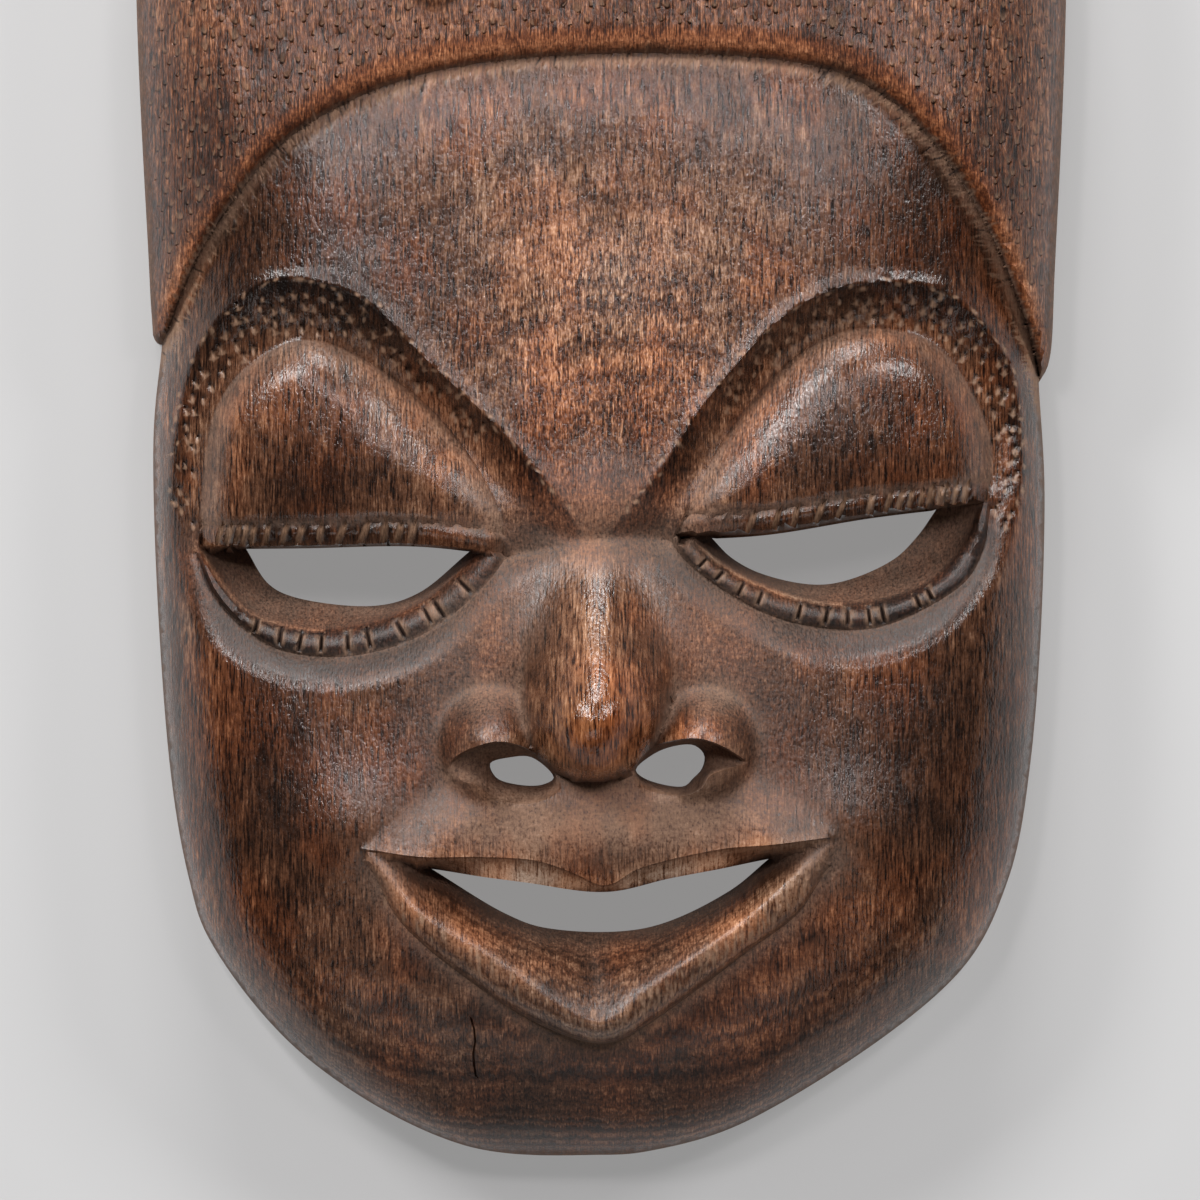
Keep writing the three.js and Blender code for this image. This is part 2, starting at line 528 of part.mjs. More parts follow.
// Adds points along a line, moved sideways by an offset, where there is wood and room.
function addRow(set, line, offset, step, gap, closed = false) {
  const length = line.length;
  let since = Infinity;
  for (let i = 0; i < length; i += 1) {
    const before = line[closed ? (i + length - 1) % length : Math.max(i - 1, 0)];
    const after = line[closed ? (i + 1) % length : Math.min(i + 1, length - 1)];
    const dx = after[0] - before[0];
    const dy = after[1] - before[1];
    const size = Math.hypot(dx, dy);
    since += size / 2;
    const x = line[i][0] - (offset * dy) / size;
    const y = line[i][1] + (offset * dx) / size;
    if (since < step || !inWood(x, y) || crowdsLoop(x, y)) continue;
    if (Math.abs(gapTo(line, x, y, closed) - Math.abs(offset)) > 0.2) continue;
    set.add(x, y, gap);
    since = 0;
  }
}

// Triangles between the points: the lower side of the hull of the points lifted onto a bowl.
function triangulate(points) {
  const indexOf = new Map();
  const lifted = points.map(([x, y], i) => {
    const point = new THREE.Vector3(x / 100, y / 100, (x * x + y * y) / 10000);
    indexOf.set(point, i);
    return point;
  });
  const hull = new ConvexHull().setFromPoints(lifted);
  const triangles = [];
  for (const face of hull.faces) {
    if (face.normal.z >= 0) continue;
    const corners = [0, 1, 2].map((i) => indexOf.get(face.getEdge(i).head().point));
    const [a, b, c] = corners.map((corner) => points[corner]);
    const turn = (b[0] - a[0]) * (c[1] - a[1]) - (b[1] - a[1]) * (c[0] - a[0]);
    if (!inWood((a[0] + b[0] + c[0]) / 3, (a[1] + b[1] + c[1]) / 3)) continue;
    triangles.push(turn > 0 ? corners : [corners[0], corners[2], corners[1]]);
  }
  return triangles;
}

// Adds a point wherever the flat triangles stray too far from the carved surface.
function refine(set, height, tolerance, gap) {
  const { points } = set;
  const heights = points.map(([x, y]) => height(x, y));
  for (const triangle of triangulate(points)) {
    const [a, b, c] = triangle.map((i) => new THREE.Vector3(points[i][0], points[i][1], heights[i]));
    const up = new THREE.Triangle(a, b, c).getNormal(new THREE.Vector3()).z;
    const places = [[1 / 3, 1 / 3], [0.5, 0.5], [0.5, 0], [0, 0.5]].map(([u, v]) => {
      const place = a.clone().multiplyScalar(1 - u - v).addScaledVector(b, u).addScaledVector(c, v);
      return { place, error: Math.abs(height(place.x, place.y) - place.z) * up };
    });
    const { place, error } = places.sort((one, other) => other.error - one.error)[0];
    if (error < tolerance || !inWood(place.x, place.y) || crowdsLoop(place.x, place.y)) continue;
    set.add(place.x, place.y, gap);
  }
}

function addGrid(set, spacing) {
  for (let row = 0, y = CHIN; y < CROWN; row += 1, y += spacing * 0.866) {
    for (let x = -120 + (row % 2) * 0.5 * spacing; x < 120; x += spacing) {
      const px = x + 0.3 * Math.sin(12.9 * x + 7.8 * y);
      const py = y + 0.3 * Math.sin(4.1 * x - 9.3 * y);
      const nearLoop = loops.some((loop) => gapTo(loop, px, py, true) < spacing * 0.35);
      if (inWood(px, py) && !nearLoop) set.add(px, py, spacing * 0.6);
    }
  }
}

function frontPoints() {
  const set = new PointSet();
  for (const loop of loops) loop.forEach(([x, y]) => set.add(x, y));
  const bothSides = (line, step) => [-STEP_GAP, STEP_GAP].forEach((side) => addRow(set, line, side, step, 0.3));
  for (const eye of eyes) {
    addRow(set, eye.lidEdge, eye.lidEdge[0][0] < eye.lidEdge[1][0] ? 0.1 : -0.1, 3.2, 0.3);
    bothSides(eye.lid, 4.5);
    addRow(set, eye.ridge, 0, 4, 0.5, true);
    addRow(set, eye.beadOutside, 0, 4, 0.8);
    addRow(set, eye.beadInside, 0, 3.2, 0.8);
  }
  bothSides(upperLip, 3);
  nostrils.forEach((nostril) => bothSides([...nostril.area, nostril.area[0]], 2.6));
  addRow(set, lowerLip, 0, 3, 0.8);
  addRow(set, lipFoot, 0, 3.5, 0.8);
  addRow(set, hairline, 0, 4.5, 0.8);
  addRow(set, muzzleLine, 0.2, 4, 0.8);
  [1.3, 4, 9].forEach((reach) => addRow(set, outline, reach, reach < 2 ? 4.5 : 6, 1.2, true));
  addGrid(set, OPEN_GRID);
  for (let round = 0; round < 4; round += 1) refine(set, frontHeight, TOLERANCE, CLOSEST);
  return set.points;
}

function backPoints() {
  const set = new PointSet();
  for (const loop of loops) loop.forEach(([x, y]) => set.add(x, y));
  addRow(set, outline, RIM_WIDTH, 5, 1.5, true);
  addRow(set, outline, RIM_WIDTH + 0.9, 5, 0.8, true);
  addGrid(set, 1.6 * OPEN_GRID);
  for (let round = 0; round < 3; round += 1) refine(set, backHeight, 2.2 * TOLERANCE, 3);
  return set.points;
}

// One closed body: the two sheets share the plan of every loop, and a wall joins them there.
function maskGeometry() {
  const middle = extentOf(outline).getCenter(new THREE.Vector2());
  const positions = [];
  const indices = [];
  function addSheet(points, height, isFront) {
    const first = positions.length / 3;
    for (const [x, y] of points) positions.push(x - middle.x, y - middle.y, height(x, y));
    for (const [a, b, c] of triangulate(points)) {
      indices.push(first + a, first + (isFront ? b : c), first + (isFront ? c : b));
    }
    return first;
  }
  const front = addSheet(frontPoints(), frontHeight, true);
  const back = addSheet(backPoints(), backHeight, false);
  const area = (loop) => loop.reduce((sum, [x, y], i) => {
    const [nextX, nextY] = loop[(i + 1) % loop.length];
    return sum + x * nextY - nextX * y;
  }, 0);
  let start = 0;
  for (const loop of loops) {
    const forward = (area(loop) > 0) === (loop === outline);
    for (let i = 0; i < loop.length; i += 1) {
      const here = start + (forward ? i : (i + 1) % loop.length);
      const next = start + (forward ? (i + 1) % loop.length : i);
      indices.push(back + here, back + next, front + next, back + here, front + next, front + here);
    }
    start += loop.length;
  }
  const geometry = new THREE.BufferGeometry();
  geometry.setAttribute('position', new THREE.Float32BufferAttribute(positions, 3));
  geometry.setIndex(indices);
  return geometry;
}

const wood = new THREE.MeshStandardMaterial({ color: 0x4a2e20, roughness: 0.5, metalness: 0 });

function makeMask() {
  const mask = new THREE.Mesh(maskGeometry(), wood);
  mask.name = 'mask';
  return mask;
}

const part = new THREE.Group();
part.add(makeMask());

export default part;
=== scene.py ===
# A carved hardwood face mask, lying face up on a pale floor and seen from straight above.
# The shape is laid out in millimetres from the crease of the nose bridge, on the eye line: X to the
# photograph's right, Y towards the crown and Z out of the face. Meshes are in metres, in the part's frame.

import math
from types import SimpleNamespace as Named

import bpy
import numpy as np
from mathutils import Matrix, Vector, kdtree
from mathutils.geometry import delaunay_2d_cdt


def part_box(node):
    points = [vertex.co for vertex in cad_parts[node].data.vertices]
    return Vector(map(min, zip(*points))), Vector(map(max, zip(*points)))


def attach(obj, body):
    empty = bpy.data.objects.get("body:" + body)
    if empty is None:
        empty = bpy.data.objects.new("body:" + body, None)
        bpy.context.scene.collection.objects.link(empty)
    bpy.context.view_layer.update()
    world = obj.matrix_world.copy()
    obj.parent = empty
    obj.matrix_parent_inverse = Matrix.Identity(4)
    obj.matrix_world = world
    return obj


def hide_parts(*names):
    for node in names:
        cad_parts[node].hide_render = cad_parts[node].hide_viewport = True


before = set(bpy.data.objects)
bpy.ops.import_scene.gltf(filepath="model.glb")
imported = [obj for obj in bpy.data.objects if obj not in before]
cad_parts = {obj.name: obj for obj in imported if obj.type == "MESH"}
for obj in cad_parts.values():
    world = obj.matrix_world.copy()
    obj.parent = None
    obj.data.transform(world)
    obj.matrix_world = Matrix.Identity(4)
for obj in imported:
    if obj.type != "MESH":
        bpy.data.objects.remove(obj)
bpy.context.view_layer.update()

MM = 0.001

# Driving dimensions, shared with the solid part.
CHIN = -153.5
CROWN = 246.5
SIDE_HEIGHT = 15
RIM_WIDTH = 13
HOLLOW_ROUNDING = 38

# The head's roundness: how fast it falls away sideways, and the quarter-round of its edge.
FACE_ROUND = Named(bow=0.00105, edge=44, wide_edge=12, rise=46, blend=7)
HAIR_ROUND = Named(bow=0.00095, edge=42, rise=50, blend=6)
HAIR_LIP = Named(narrow=3.6, wide=8)

# Thickness of the wood left round the openings, and the shelf in the nostrils.
EYE_LIP = 6
NOSTRIL_LIP = 18
NOSTRIL_SHELF = 61.5
MOUTH_LIP = 8

# Relief of an upper lid with its lash band, of the bead under the eye, of the lips, bridge and cheeks.
SOCKET_WIDTH = 11
LID = Named(floor=7.2, rise=5.2, run=13, ball=3, curl=2.6, curl_width=9, band=5.2, band_rise=0.8, groove=0.9)
BEAD = Named(foot=1.2, rise=2.6, lean=1.6, back=2.8)
UPPER_EDGE = Named(bevel=0.8, fall=3)
LIP_RIDGE = Named(height=59.3, rise=1, peak=0.8, fade=0.14)
LIP_GROOVE = Named(depth=1.8, width=7)
BRIDGE = Named(reach=36, above=6, below=3.2, depth=1.4, ends=2, swell=2)
MUZZLE_RISE = 4.2
MUZZLE_SWELL = 2
PHILTRUM = Named(depth=0.9, width=2.2, lean=0.1)
CHEEKS = [(-63, -72), (62, -72)]
CHEEK_RISE = 2.6
CHEEK_SIZE = (15, 14)

# Outline of the face, from the left hair tip round the chin, and of the hair, over the crown.
FACE_EDGE = [(-110.8, 50.6), (-113, 26), (-109, -54), (-104, -84), (-99, -99), (-75, -128.5), (-35, -151),
             (0, CHIN), (12, -152.5), (36.5, -145), (89.5, -108), (102, -85), (108, -54), (111.5, 11),
             (110, 41)]
HAIR_EDGE = [(110, 41), (112.4, 45.5), (114, 68), (116, 175), (108, 208), (88, 231), (55, 243), (0, CROWN),
             (-55, 243), (-88, 231), (-108, 208), (-116.5, 175), (-114, 68), (-113.1, 53)]
HAIR_TIP = [(-113.1, 53), (-112.2, 51), (-110.8, 50.6)]
FACE_UNDER_HAIR = [(110, 41), (108.8, 60), (107, 90), (98, 130), (60, 180), (-60, 180), (-98, 130),
                   (-107.5, 90), (-110.2, 62), (-110.8, 50.6)]
HAIRLINE = [(-113.5, 46), (-110.5, 51), (-100.5, 73.5), (-82, 98), (-68, 108), (-50.5, 115.5), (-30.5, 120),
            (9.5, 122.5), (47, 120.5), (62, 116.5), (74.5, 109), (93, 86), (106.5, 56), (112, 34)]
LOCKS = [[(-41.5, 140), (-38, 160), (-28, 182), (-14, 200)], [(38, 146), (36, 162), (27, 184), (14, 200)]]
LOCK_WIDTH = 6
LOCK_HEIGHT = 3.6

# Heights above the back of the rim along the middle of the mask: (place along Y, height).
FACE_PROFILE = [(CHIN, 15), (-151, 25), (-146, 33.5), (-140, 39), (-130, 46), (-120, 51), (-100, 57),
                (-80, 60), (-60, 60.5), (-30, 60), (-5, 60.5), (10, 65), (30, 69), (60, 71), (90, 68.5),
                (122, 61), (150, 53)]
HAIR_PROFILE = [(20, 70), (60, 74), (100, 73), (124, 69.5), (150, 67.5), (180, 63), (205, 56), (225, 46.5),
                (237, 37), (243, 28.5), (CROWN, 15)]
HOLLOW_PROFILE = [(CHIN, 20), (-130, 25), (-100, 31), (-85, 32), (-60, 37), (-45, 38), (-25, 33), (-8, 30),
                  (8, 31), (30, 35), (80, 42), (150, 42), (200, 36), (CROWN, 24)]

# Nose: its middle line, the height of its crest and half its width, each along Y.
NOSE_FOOT = -58.8
NOSE_AXIS = [(-60, -1.8), (-50, -2.6), (-42, -1.8), (-30, -1), (-16, -1), (2, 0.2)]
NOSE_CREST = [(NOSE_FOOT, 60), (-58.3, 68), (-57, 75), (-55, 80.5), (-52, 85), (-48, 88.6), (-44, 90),
              (-40, 89), (-36, 86.5), (-28, 80), (-18, 71.8), (-8, 64.5), (-1, 60.5), (4, 58)]
NOSE_HALF_WIDTH = [(NOSE_FOOT, 3), (-57.5, 7.5), (-55.5, 11.2), (-52, 14.4), (-46, 17.2), (-38, 18.8),
                   (-32, 18.8), (-24, 17.6), (-16, 15.6), (-8, 13), (2, 11)]
NOSE_ROUND = Named(top=4, across=1.9, crown=0.66, flare=1.2, flare_foot=-46, flare_top=-18)
WING_FOOT = 48
NOSE_WINGS = [dict(x=-27, y=-50, long=15, wide=15.6, height=24, turn=28),
              dict(x=25, y=-49.8, long=14.8, wide=15, height=25, turn=-28)]
BRIDGE_CREASE = [(-24, -3), (-14, -1.2), (-5, 0.4), (6, 0.9), (17.4, 1.4)]
NOSTRILS = [
    dict(brow=[(-39.3, -58), (-36.3, -53), (-30, -50), (-25, -49.2), (-18, -51.3), (-12, -57)],
         ledge=[(-12, -57), (-10.5, -60.5), (-17, -64), (-26.5, -63), (-31.5, -59.5), (-39.3, -58)],
         hole=[(-28, -54.6), (-23, -53), (-17.5, -53), (-12, -58.2), (-15, -60), (-21, -60),
               (-26.5, -58.2)]),
    dict(brow=[(7.5, -56.4), (11.5, -51.2), (17.5, -49), (24, -48.4), (30, -50.4), (36.3, -54.4)],
         ledge=[(36.3, -54.4), (30.5, -55.6), (26.6, -57.2), (24.5, -60.4), (20, -62.2), (10, -60),
                (7.5, -56.4)],
         hole=[(8.4, -56.2), (12.5, -52.4), (17.5, -50.3), (23, -50), (25.6, -52.6), (25, -56),
               (22.8, -58.4), (20.5, -60.4), (10.8, -58.5)]),
]

# Eyes: the brow ridge all round, the upper lid, the lower lid's bead and the opening's lower edge.
# The fall inside the ridge is: angle about the middle, depth, and 1 if it is gouged or 0 if it is soft.
# The notches are places along X, on the lash band and on the bead.
EYES = [
    dict(
        middle=(-66, 14), ball=(-60, 16, 42, 46),
        ridge=[(-5, 1), (-21, 24), (-43.5, 46), (-57.5, 60), (-68, 65), (-81, 66), (-89, 62.5), (-102, 47),
               (-107.5, -6), (-96, -28), (-68, -37), (-42, -30), (-22, -12), (-12, -4)],
        lid=[(-24, -2.2), (-25.5, 8), (-43, 34), (-72, 51), (-86, 46.5), (-96, 35), (-99.5, 18),
             (-100.8, -0.4)],
        lid_edge=[(-100.8, -0.4), (-75, -0.2), (-46, 0.2), (-24, -2.2)],
        hole_edge=[(-89.5, -0.9), (-84, -9.5), (-78, -12.8), (-57, -15.2), (-46, -12), (-33.2, -1.6)],
        bead_inside=[(-100.2, -1), (-94, -11), (-87, -17.5), (-68, -21.3), (-46, -15), (-30, -1.6)],
        bead_outside=[(-101.5, -2.2), (-97, -12.2), (-89, -21), (-81, -26), (-68, -28), (-57, -26.8),
                      (-46, -23), (-35.5, -16), (-27, -7.5), (-24, -3)],
        fall=[(-15, 2, 0), (5, 6, 0.4), (24, 9.4, 0.9), (45, 10, 1), (68, 9, 1), (95, 7.8, 1), (125, 6, 1),
              (150, 5, 1), (180, 4.5, 1), (205, 4, 0.3), (235, 4.5, 0), (268, 5.5, 0), (300, 5, 0),
              (325, 3.6, 0)],
        lash_notches=[-95.5, -93, -91, -89, -87.2, -83.5, -79.2, -75.2, -70.2, -65, -59.2, -54.2, -50.5,
                      -47.2],
        bead_notches=[-87.2, -81, -75.8, -70.2, -63, -57.5, -49.2, -42, -39, -32],
        stroke_lean=32,
    ),
    dict(
        middle=(64, 17), ball=(60, 21, 40, 44),
        ridge=[(2, 1), (8, 10), (18.5, 24), (23, 32), (43, 55), (52.5, 61.5), (64, 65), (85, 63.5),
               (100, 49), (104, 39), (102.5, -2.5), (90, -20), (80, -27), (66, -31), (52, -30), (28, -19),
               (9, -4)],
        lid=[(17.8, 1.8), (31, 27), (47.5, 46), (62, 53.6), (79, 52.2), (87, 46.5), (96.5, 29), (97.8, 19),
             (96.5, 10.8)],
        lid_edge=[(96.5, 10.8), (68, 7.4), (41, 3.1), (17.8, 1.8)],
        hole_edge=[(27.5, 1.8), (32.5, -3.2), (41, -7.5), (56.5, -9.8), (72.5, -4), (79, 2), (84, 9)],
        bead_inside=[(22.5, 1.6), (31, -5.8), (47.5, -13), (64, -14.8), (81, -10), (91.5, 1.2),
                     (94.6, 10.4)],
        bead_outside=[(16.8, 0.8), (24, -6.8), (43.5, -18.2), (64, -21.2), (74, -19), (91, -9), (95.5, -0.8),
                      (97.2, 9)],
        fall=[(195, 2, 0), (175, 6, 0.4), (156, 9.4, 0.9), (135, 10, 1), (112, 9, 1), (85, 7.8, 1),
              (55, 6.5, 1), (30, 6, 1), (0, 6, 0.7), (-25, 5.5, 0.3), (-55, 5.5, 0), (-88, 5.5, 0),
              (-120, 5, 0), (-145, 3.6, 0)],
        lash_notches=[37.2, 43.5, 48.2, 54.2, 59.5, 67, 71.5, 74.5, 77, 79.8, 82, 84.5, 86, 88.2, 90.8],
        bead_notches=[23.5, 28, 33.5, 38.5, 48.8, 55.5, 61.2, 67, 70.8, 79.8, 83.2],
        stroke_lean=-32,
    ),
]

# Mouth: the muzzle above it, the upper lip's edge, the opening, and the lower lip's ridge and foot.
MUZZLE = [(-60.5, -76), (-55.5, -73), (-45, -63), (-38.5, -59), (-30, -54), (8, -52), (28, -51), (45, -61),
          (58, -70.5), (59.5, -73.5)]
UPPER_LIP = [(-59.5, -76), (-45, -78), (-30, -78), (-16, -79), (-6, -82.5), (-0.5, -85), (3, -84.5),
             (9, -81), (30, -76), (42, -75), (58, -73)]
MOUTH_TOP = [(-43, -81), (-20, -84), (1, -86.5), (17.5, -83), (42, -78.5)]
MOUTH_BOTTOM = [(-43, -81), (-24, -92.5), (-14, -96), (11, -96), (31.5, -87), (42, -78.5)]
LOWER_LIP = [(-59.5, -76), (-52.5, -83.5), (-46.5, -91), (-28, -102.5), (-4.5, -118), (0, -119), (4.5, -117),
             (8.5, -113), (34, -95), (49.5, -81.5), (58, -73)]
LIP_FOOT = [(-57, -82), (-51.5, -92.5), (-43.8, -100.5), (-35.5, -107), (-25.5, -114.2), (-15, -120),
            (-4.8, -124), (2, -124.4), (8, -122), (24.5, -110.5), (37, -101), (48.8, -92), (56, -81)]

# Fine relief that only this mesh carries.
BROW_LIP = 0.6
PUNCH_GAP = 3.9
PUNCH_RADIUS = 0.68
STROKE_GAP = 3.7
STROKE_FROM = 29
CHIN_CRACK = [(-32.6, -118.5), (-31.6, -123), (-32.2, -127.5), (-31.6, -132.5)]
GOUGE = Named(width=9.5, length=15, depth=1.6)
DENT = Named(depth=0.35, width=11, length=13)
WAVE_CELLS = 97

# Broad lighter and darker areas of the wood: (x, y, half a width, half a length, lighter or darker).
TONES = [(0, 66, 36, 30, 0.16), (6, 24, 26, 14, -0.04), (-88, 84, 26, 32, -0.19), (84, 82, 28, 36, -0.18),
         (-62, 62, 34, 16, -0.10), (-3, -22, 7, 18, 0.21), (-3, -50, 14, 9, 0.02), (-30, 84, 16, 30, 0.06),
         (36, 76, 14, 20, 0.05), (-17, -70, 20, 8, 0.24), (20, -68, 20, 8, 0.20), (-86, -62, 24, 44, -0.20),
         (88, -60, 24, 44, -0.22), (-8, -140, 84, 24, -0.10), (-70, 12, 14, 18, -0.22),
         (-44, 16, 8, 22, 0.04), (64, 22, 20, 18, -0.18), (-27, -43, 9, 7, -0.14), (27, -43, 9, 7, -0.15),
         (-110, -10, 6, 60, -0.16), (110, -10, 6, 60, -0.14), (0, -92, 40, 5, 0.05),
         (-44, -50, 16, 14, -0.06), (46, -48, 16, 14, -0.08), (50, 102, 1.6, 2.2, 0.24),
         (83, 90, 4, 3, -0.14), (83, 84, 3, 5, 0.12), (69.5, 29, 1.8, 2.4, 0.22), (-103, -23, 1.2, 6, 0.14),
         (27, -44, 9, 6, 0.06), (80, -94, 16, 14, 0.12)]
# Dusty areas, in the same terms.
DUSTY = [(-8, 3, 20, 8, 0.6), (14, 4, 14, 8, 0.55), (-29, -38, 6, 5, 0.6), (29, -38, 6, 5, 0.6),
         (-34, -57, 6, 4, 0.6), (31, -53, 5, 4, 0.4), (-52, -83, 8, 7, 0.5), (54, -79, 8, 7, 0.5),
         (-18, -69, 30, 8, 0.5), (20, -67, 28, 8, 0.5), (-30, -18, 14, 10, 0.35), (28, -18, 14, 10, 0.35)]
# Areas without clear lines of the grain, in the same terms.
SMOOTH = [(-34, -36, 18, 24, 0.8), (34, -36, 18, 24, 0.8), (0, -70, 60, 10, 0.45), (0, 8, 30, 12, 0.8),
          (0, -96, 50, 12, 0.7), (0, -134, 110, 30, 0.7), (0, 60, 40, 40, 0.2)]
# The most orange areas, in the same terms.
ORANGE = [(6, 38, 30, 26, 0.6), (-3, -48, 16, 12, 1.0), (29, -46, 9, 9, 0.8), (-2, -30, 9, 20, 0.5),
          (90, 30, 12, 12, 0.8), (84, 84, 12, 16, 0.5), (-98, -86, 14, 24, 0.4)]
# Growth rings: arches across the forehead down to a foot, and level lines by depth below it.
ARCH_FOOT = 22
ARCH_TOP_X = 6
ARCH_BOW = 0.009
ARCH_GAP = 4.4
LEVEL_GAP = 1.9
# How much lighter or darker each part is, and how much dust lies there. Some of the tones are painted light
# and
# shade: shade under the brow ridge, in the groove above the lash band and at the foot of the hair's step, a
# highlight along the lash band's lower edge, and light on the bevel under the hair's lip and on the upper
# lip's underside, which face down. A pair is for the hair's edge at the sides and for the same over the
# brow.
TONE = dict(worn=0.21, under_ridge_shade=-0.17, on_ridge=-0.10, below_ridge=0.03, socket=-0.22, band=-0.20,
            band_groove=-0.06, lid_edge=0.20, lid_border=0.12, bead=-0.33, wall=0.02, wall_edge=0.14,
            nostril=0.12, hair=0.02, hair_foot_shade=-0.12, hair_lip=(0.10, 0.22), fringe=(0.42, 0.24),
            lip_front=0.06, under_lip=0.26)
DUST = Named(near_hollow=0.30, far_hollow=0.05, fringe=(0.30, 0.20), socket=0.15, wall=0.35, lid_border=0.32,
            band_groove=0.6, nostril=0.3, swept=0.8)

# Fineness of the mesh: sampled lines, loops that front and back share, and the gaps between free points.
FINE = 1.0
OUTLINE_STEP = 1.6
HOLE_STEP = 1.0
STEP_GAP = 0.3
FACE_GRID = 1.2
HAIR_GRID = 1.8
BACK_GRID = 3.4
TINY = 1e-6


# Number helpers, for single numbers and for whole arrays.
def mix(a, b, share):
    return a + (b - a) * share


def ease(start, end, value):
    t = np.clip((value - start) / (end - start), 0, 1)
    return t * t * (3 - 2 * t)


def soft_max(a, b, width):
    h = np.clip(0.5 + 0.5 * (a - b) / width, 0, 1)
    return mix(b, a, h) + width * h * (1 - h)


def soft_min(a, b, width):
    return -soft_max(-a, -b, width)


def quarter(share, power=2):
    """A quarter-round: 0 at 0, level at 1."""
    return (1 - (1 - np.clip(share, 0, 1)) ** power) ** (1 / power)


def hump(x, y, cx, cy, rx, ry):
    return np.exp(-(((x - cx) / rx) ** 2) - ((y - cy) / ry) ** 2)


def patches(x, y, areas):
    """The sum of humps, each given as (x, y, half a width, half a length, strength)."""
    return sum(strength * hump(x, y, cx, cy, rx, ry) for cx, cy, rx, ry, strength in areas)


def fade(gap, width):
    """1 on a line, falling off within about a width."""
    return np.exp(-((gap / width) ** 2))


def from_ends(share):
    """0 at both ends of a line, 1 at its middle."""
    return 1 - abs(2 * share - 1)


def hair_lip(share):
    """How wide the hair's lip is at a share of the hairline."""
    return mix(HAIR_LIP.narrow, HAIR_LIP.wide, ease(0.15, 0.7, from_ends(share)))


def profile(pairs):
    """A smooth curve through (place, value) pairs that never overshoots them."""
    places, values = np.array(sorted(pairs), float).T
    widths = np.diff(places)
    slopes = np.diff(values) / widths
    tangents = np.zeros(len(places))
    tangents[0], tangents[-1] = slopes[0], slopes[-1]
    for i in range(1, len(places) - 1):
        if slopes[i - 1] * slopes[i] > 0:
            share = widths[i - 1] / slopes[i - 1] + widths[i] / slopes[i]
            tangents[i] = (widths[i - 1] + widths[i]) / share

    def curve(place):
        i = np.clip(np.searchsorted(places, place) - 1, 0, len(widths) - 1)
        t = np.clip((place - places[i]) / widths[i], 0, 1)
        rest = 1 - t
        return (values[i] * (1 + 2 * t) * rest * rest + widths[i] * tangents[i] * t * rest * rest
                + values[i + 1] * t * t * (3 - 2 * t) - widths[i] * tangents[i + 1] * t * t * rest)
    return curve


def ring_profile(rows, column):
    """The same for values set round a full turn, in degrees."""
    pairs = sorted((row[0] % 360, row[column]) for row in rows)
    first, final = pairs[0], pairs[-1]
    return profile([(final[0] - 360, final[1]), *pairs, (first[0] + 360, first[1])])


# Lines on the plan.
def smooth_line(points, step, closed=False):
    """A smooth line through points, as evenly spaced points about a step apart."""
    p = np.array(points, float)
    count = len(p)
    spans = count if closed else count - 1
    share = np.linspace(0, 1, 24, endpoint=False)[:, None]
    dense = []
    for i in range(spans):
        b, c = p[i], p[(i + 1) % count]
        a = p[i - 1] if closed or i > 0 else 2 * b - c
        d = p[(i + 2) % count] if closed or i + 2 < count else 2 * c - b
        t0, t1, t2 = (math.sqrt(math.dist(q, r)) for q, r in ((b, a), (c, b), (d, c)))
        m1 = ((b - a) / t0 - (c - a) / (t0 + t1) + (c - b) / t1) * t1
        m2 = ((c - b) / t1 - (d - b) / (t1 + t2) + (d - c) / t2) * t1
        dense.append(b + m1 * share + (3 * (c - b) - 2 * m1 - m2) * share ** 2
                     + (m1 + m2 - 2 * (c - b)) * share ** 3)
    dense.append(p[:1] if closed else p[-1:])
    dense = np.vstack(dense)
    along = np.concatenate([[0], np.cumsum(np.hypot(*np.diff(dense, axis=0).T))])
    places = np.linspace(0, along[-1], max(2, math.ceil(along[-1] / step)) + 1)
    line = np.column_stack([np.interp(places, along, dense[:, 0]), np.interp(places, along, dense[:, 1])])
    return line[:-1] if closed else line


def join_loop(*lines):
    """One loop out of lines that each end where the next one starts."""
    return np.vstack([line[:-1] for line in lines])


def towards(line, end):
    """The line, turned round if its far end is the one nearer to that end."""
    return line if math.dist(line[0], end) <= math.dist(line[-1], end) else line[::-1]


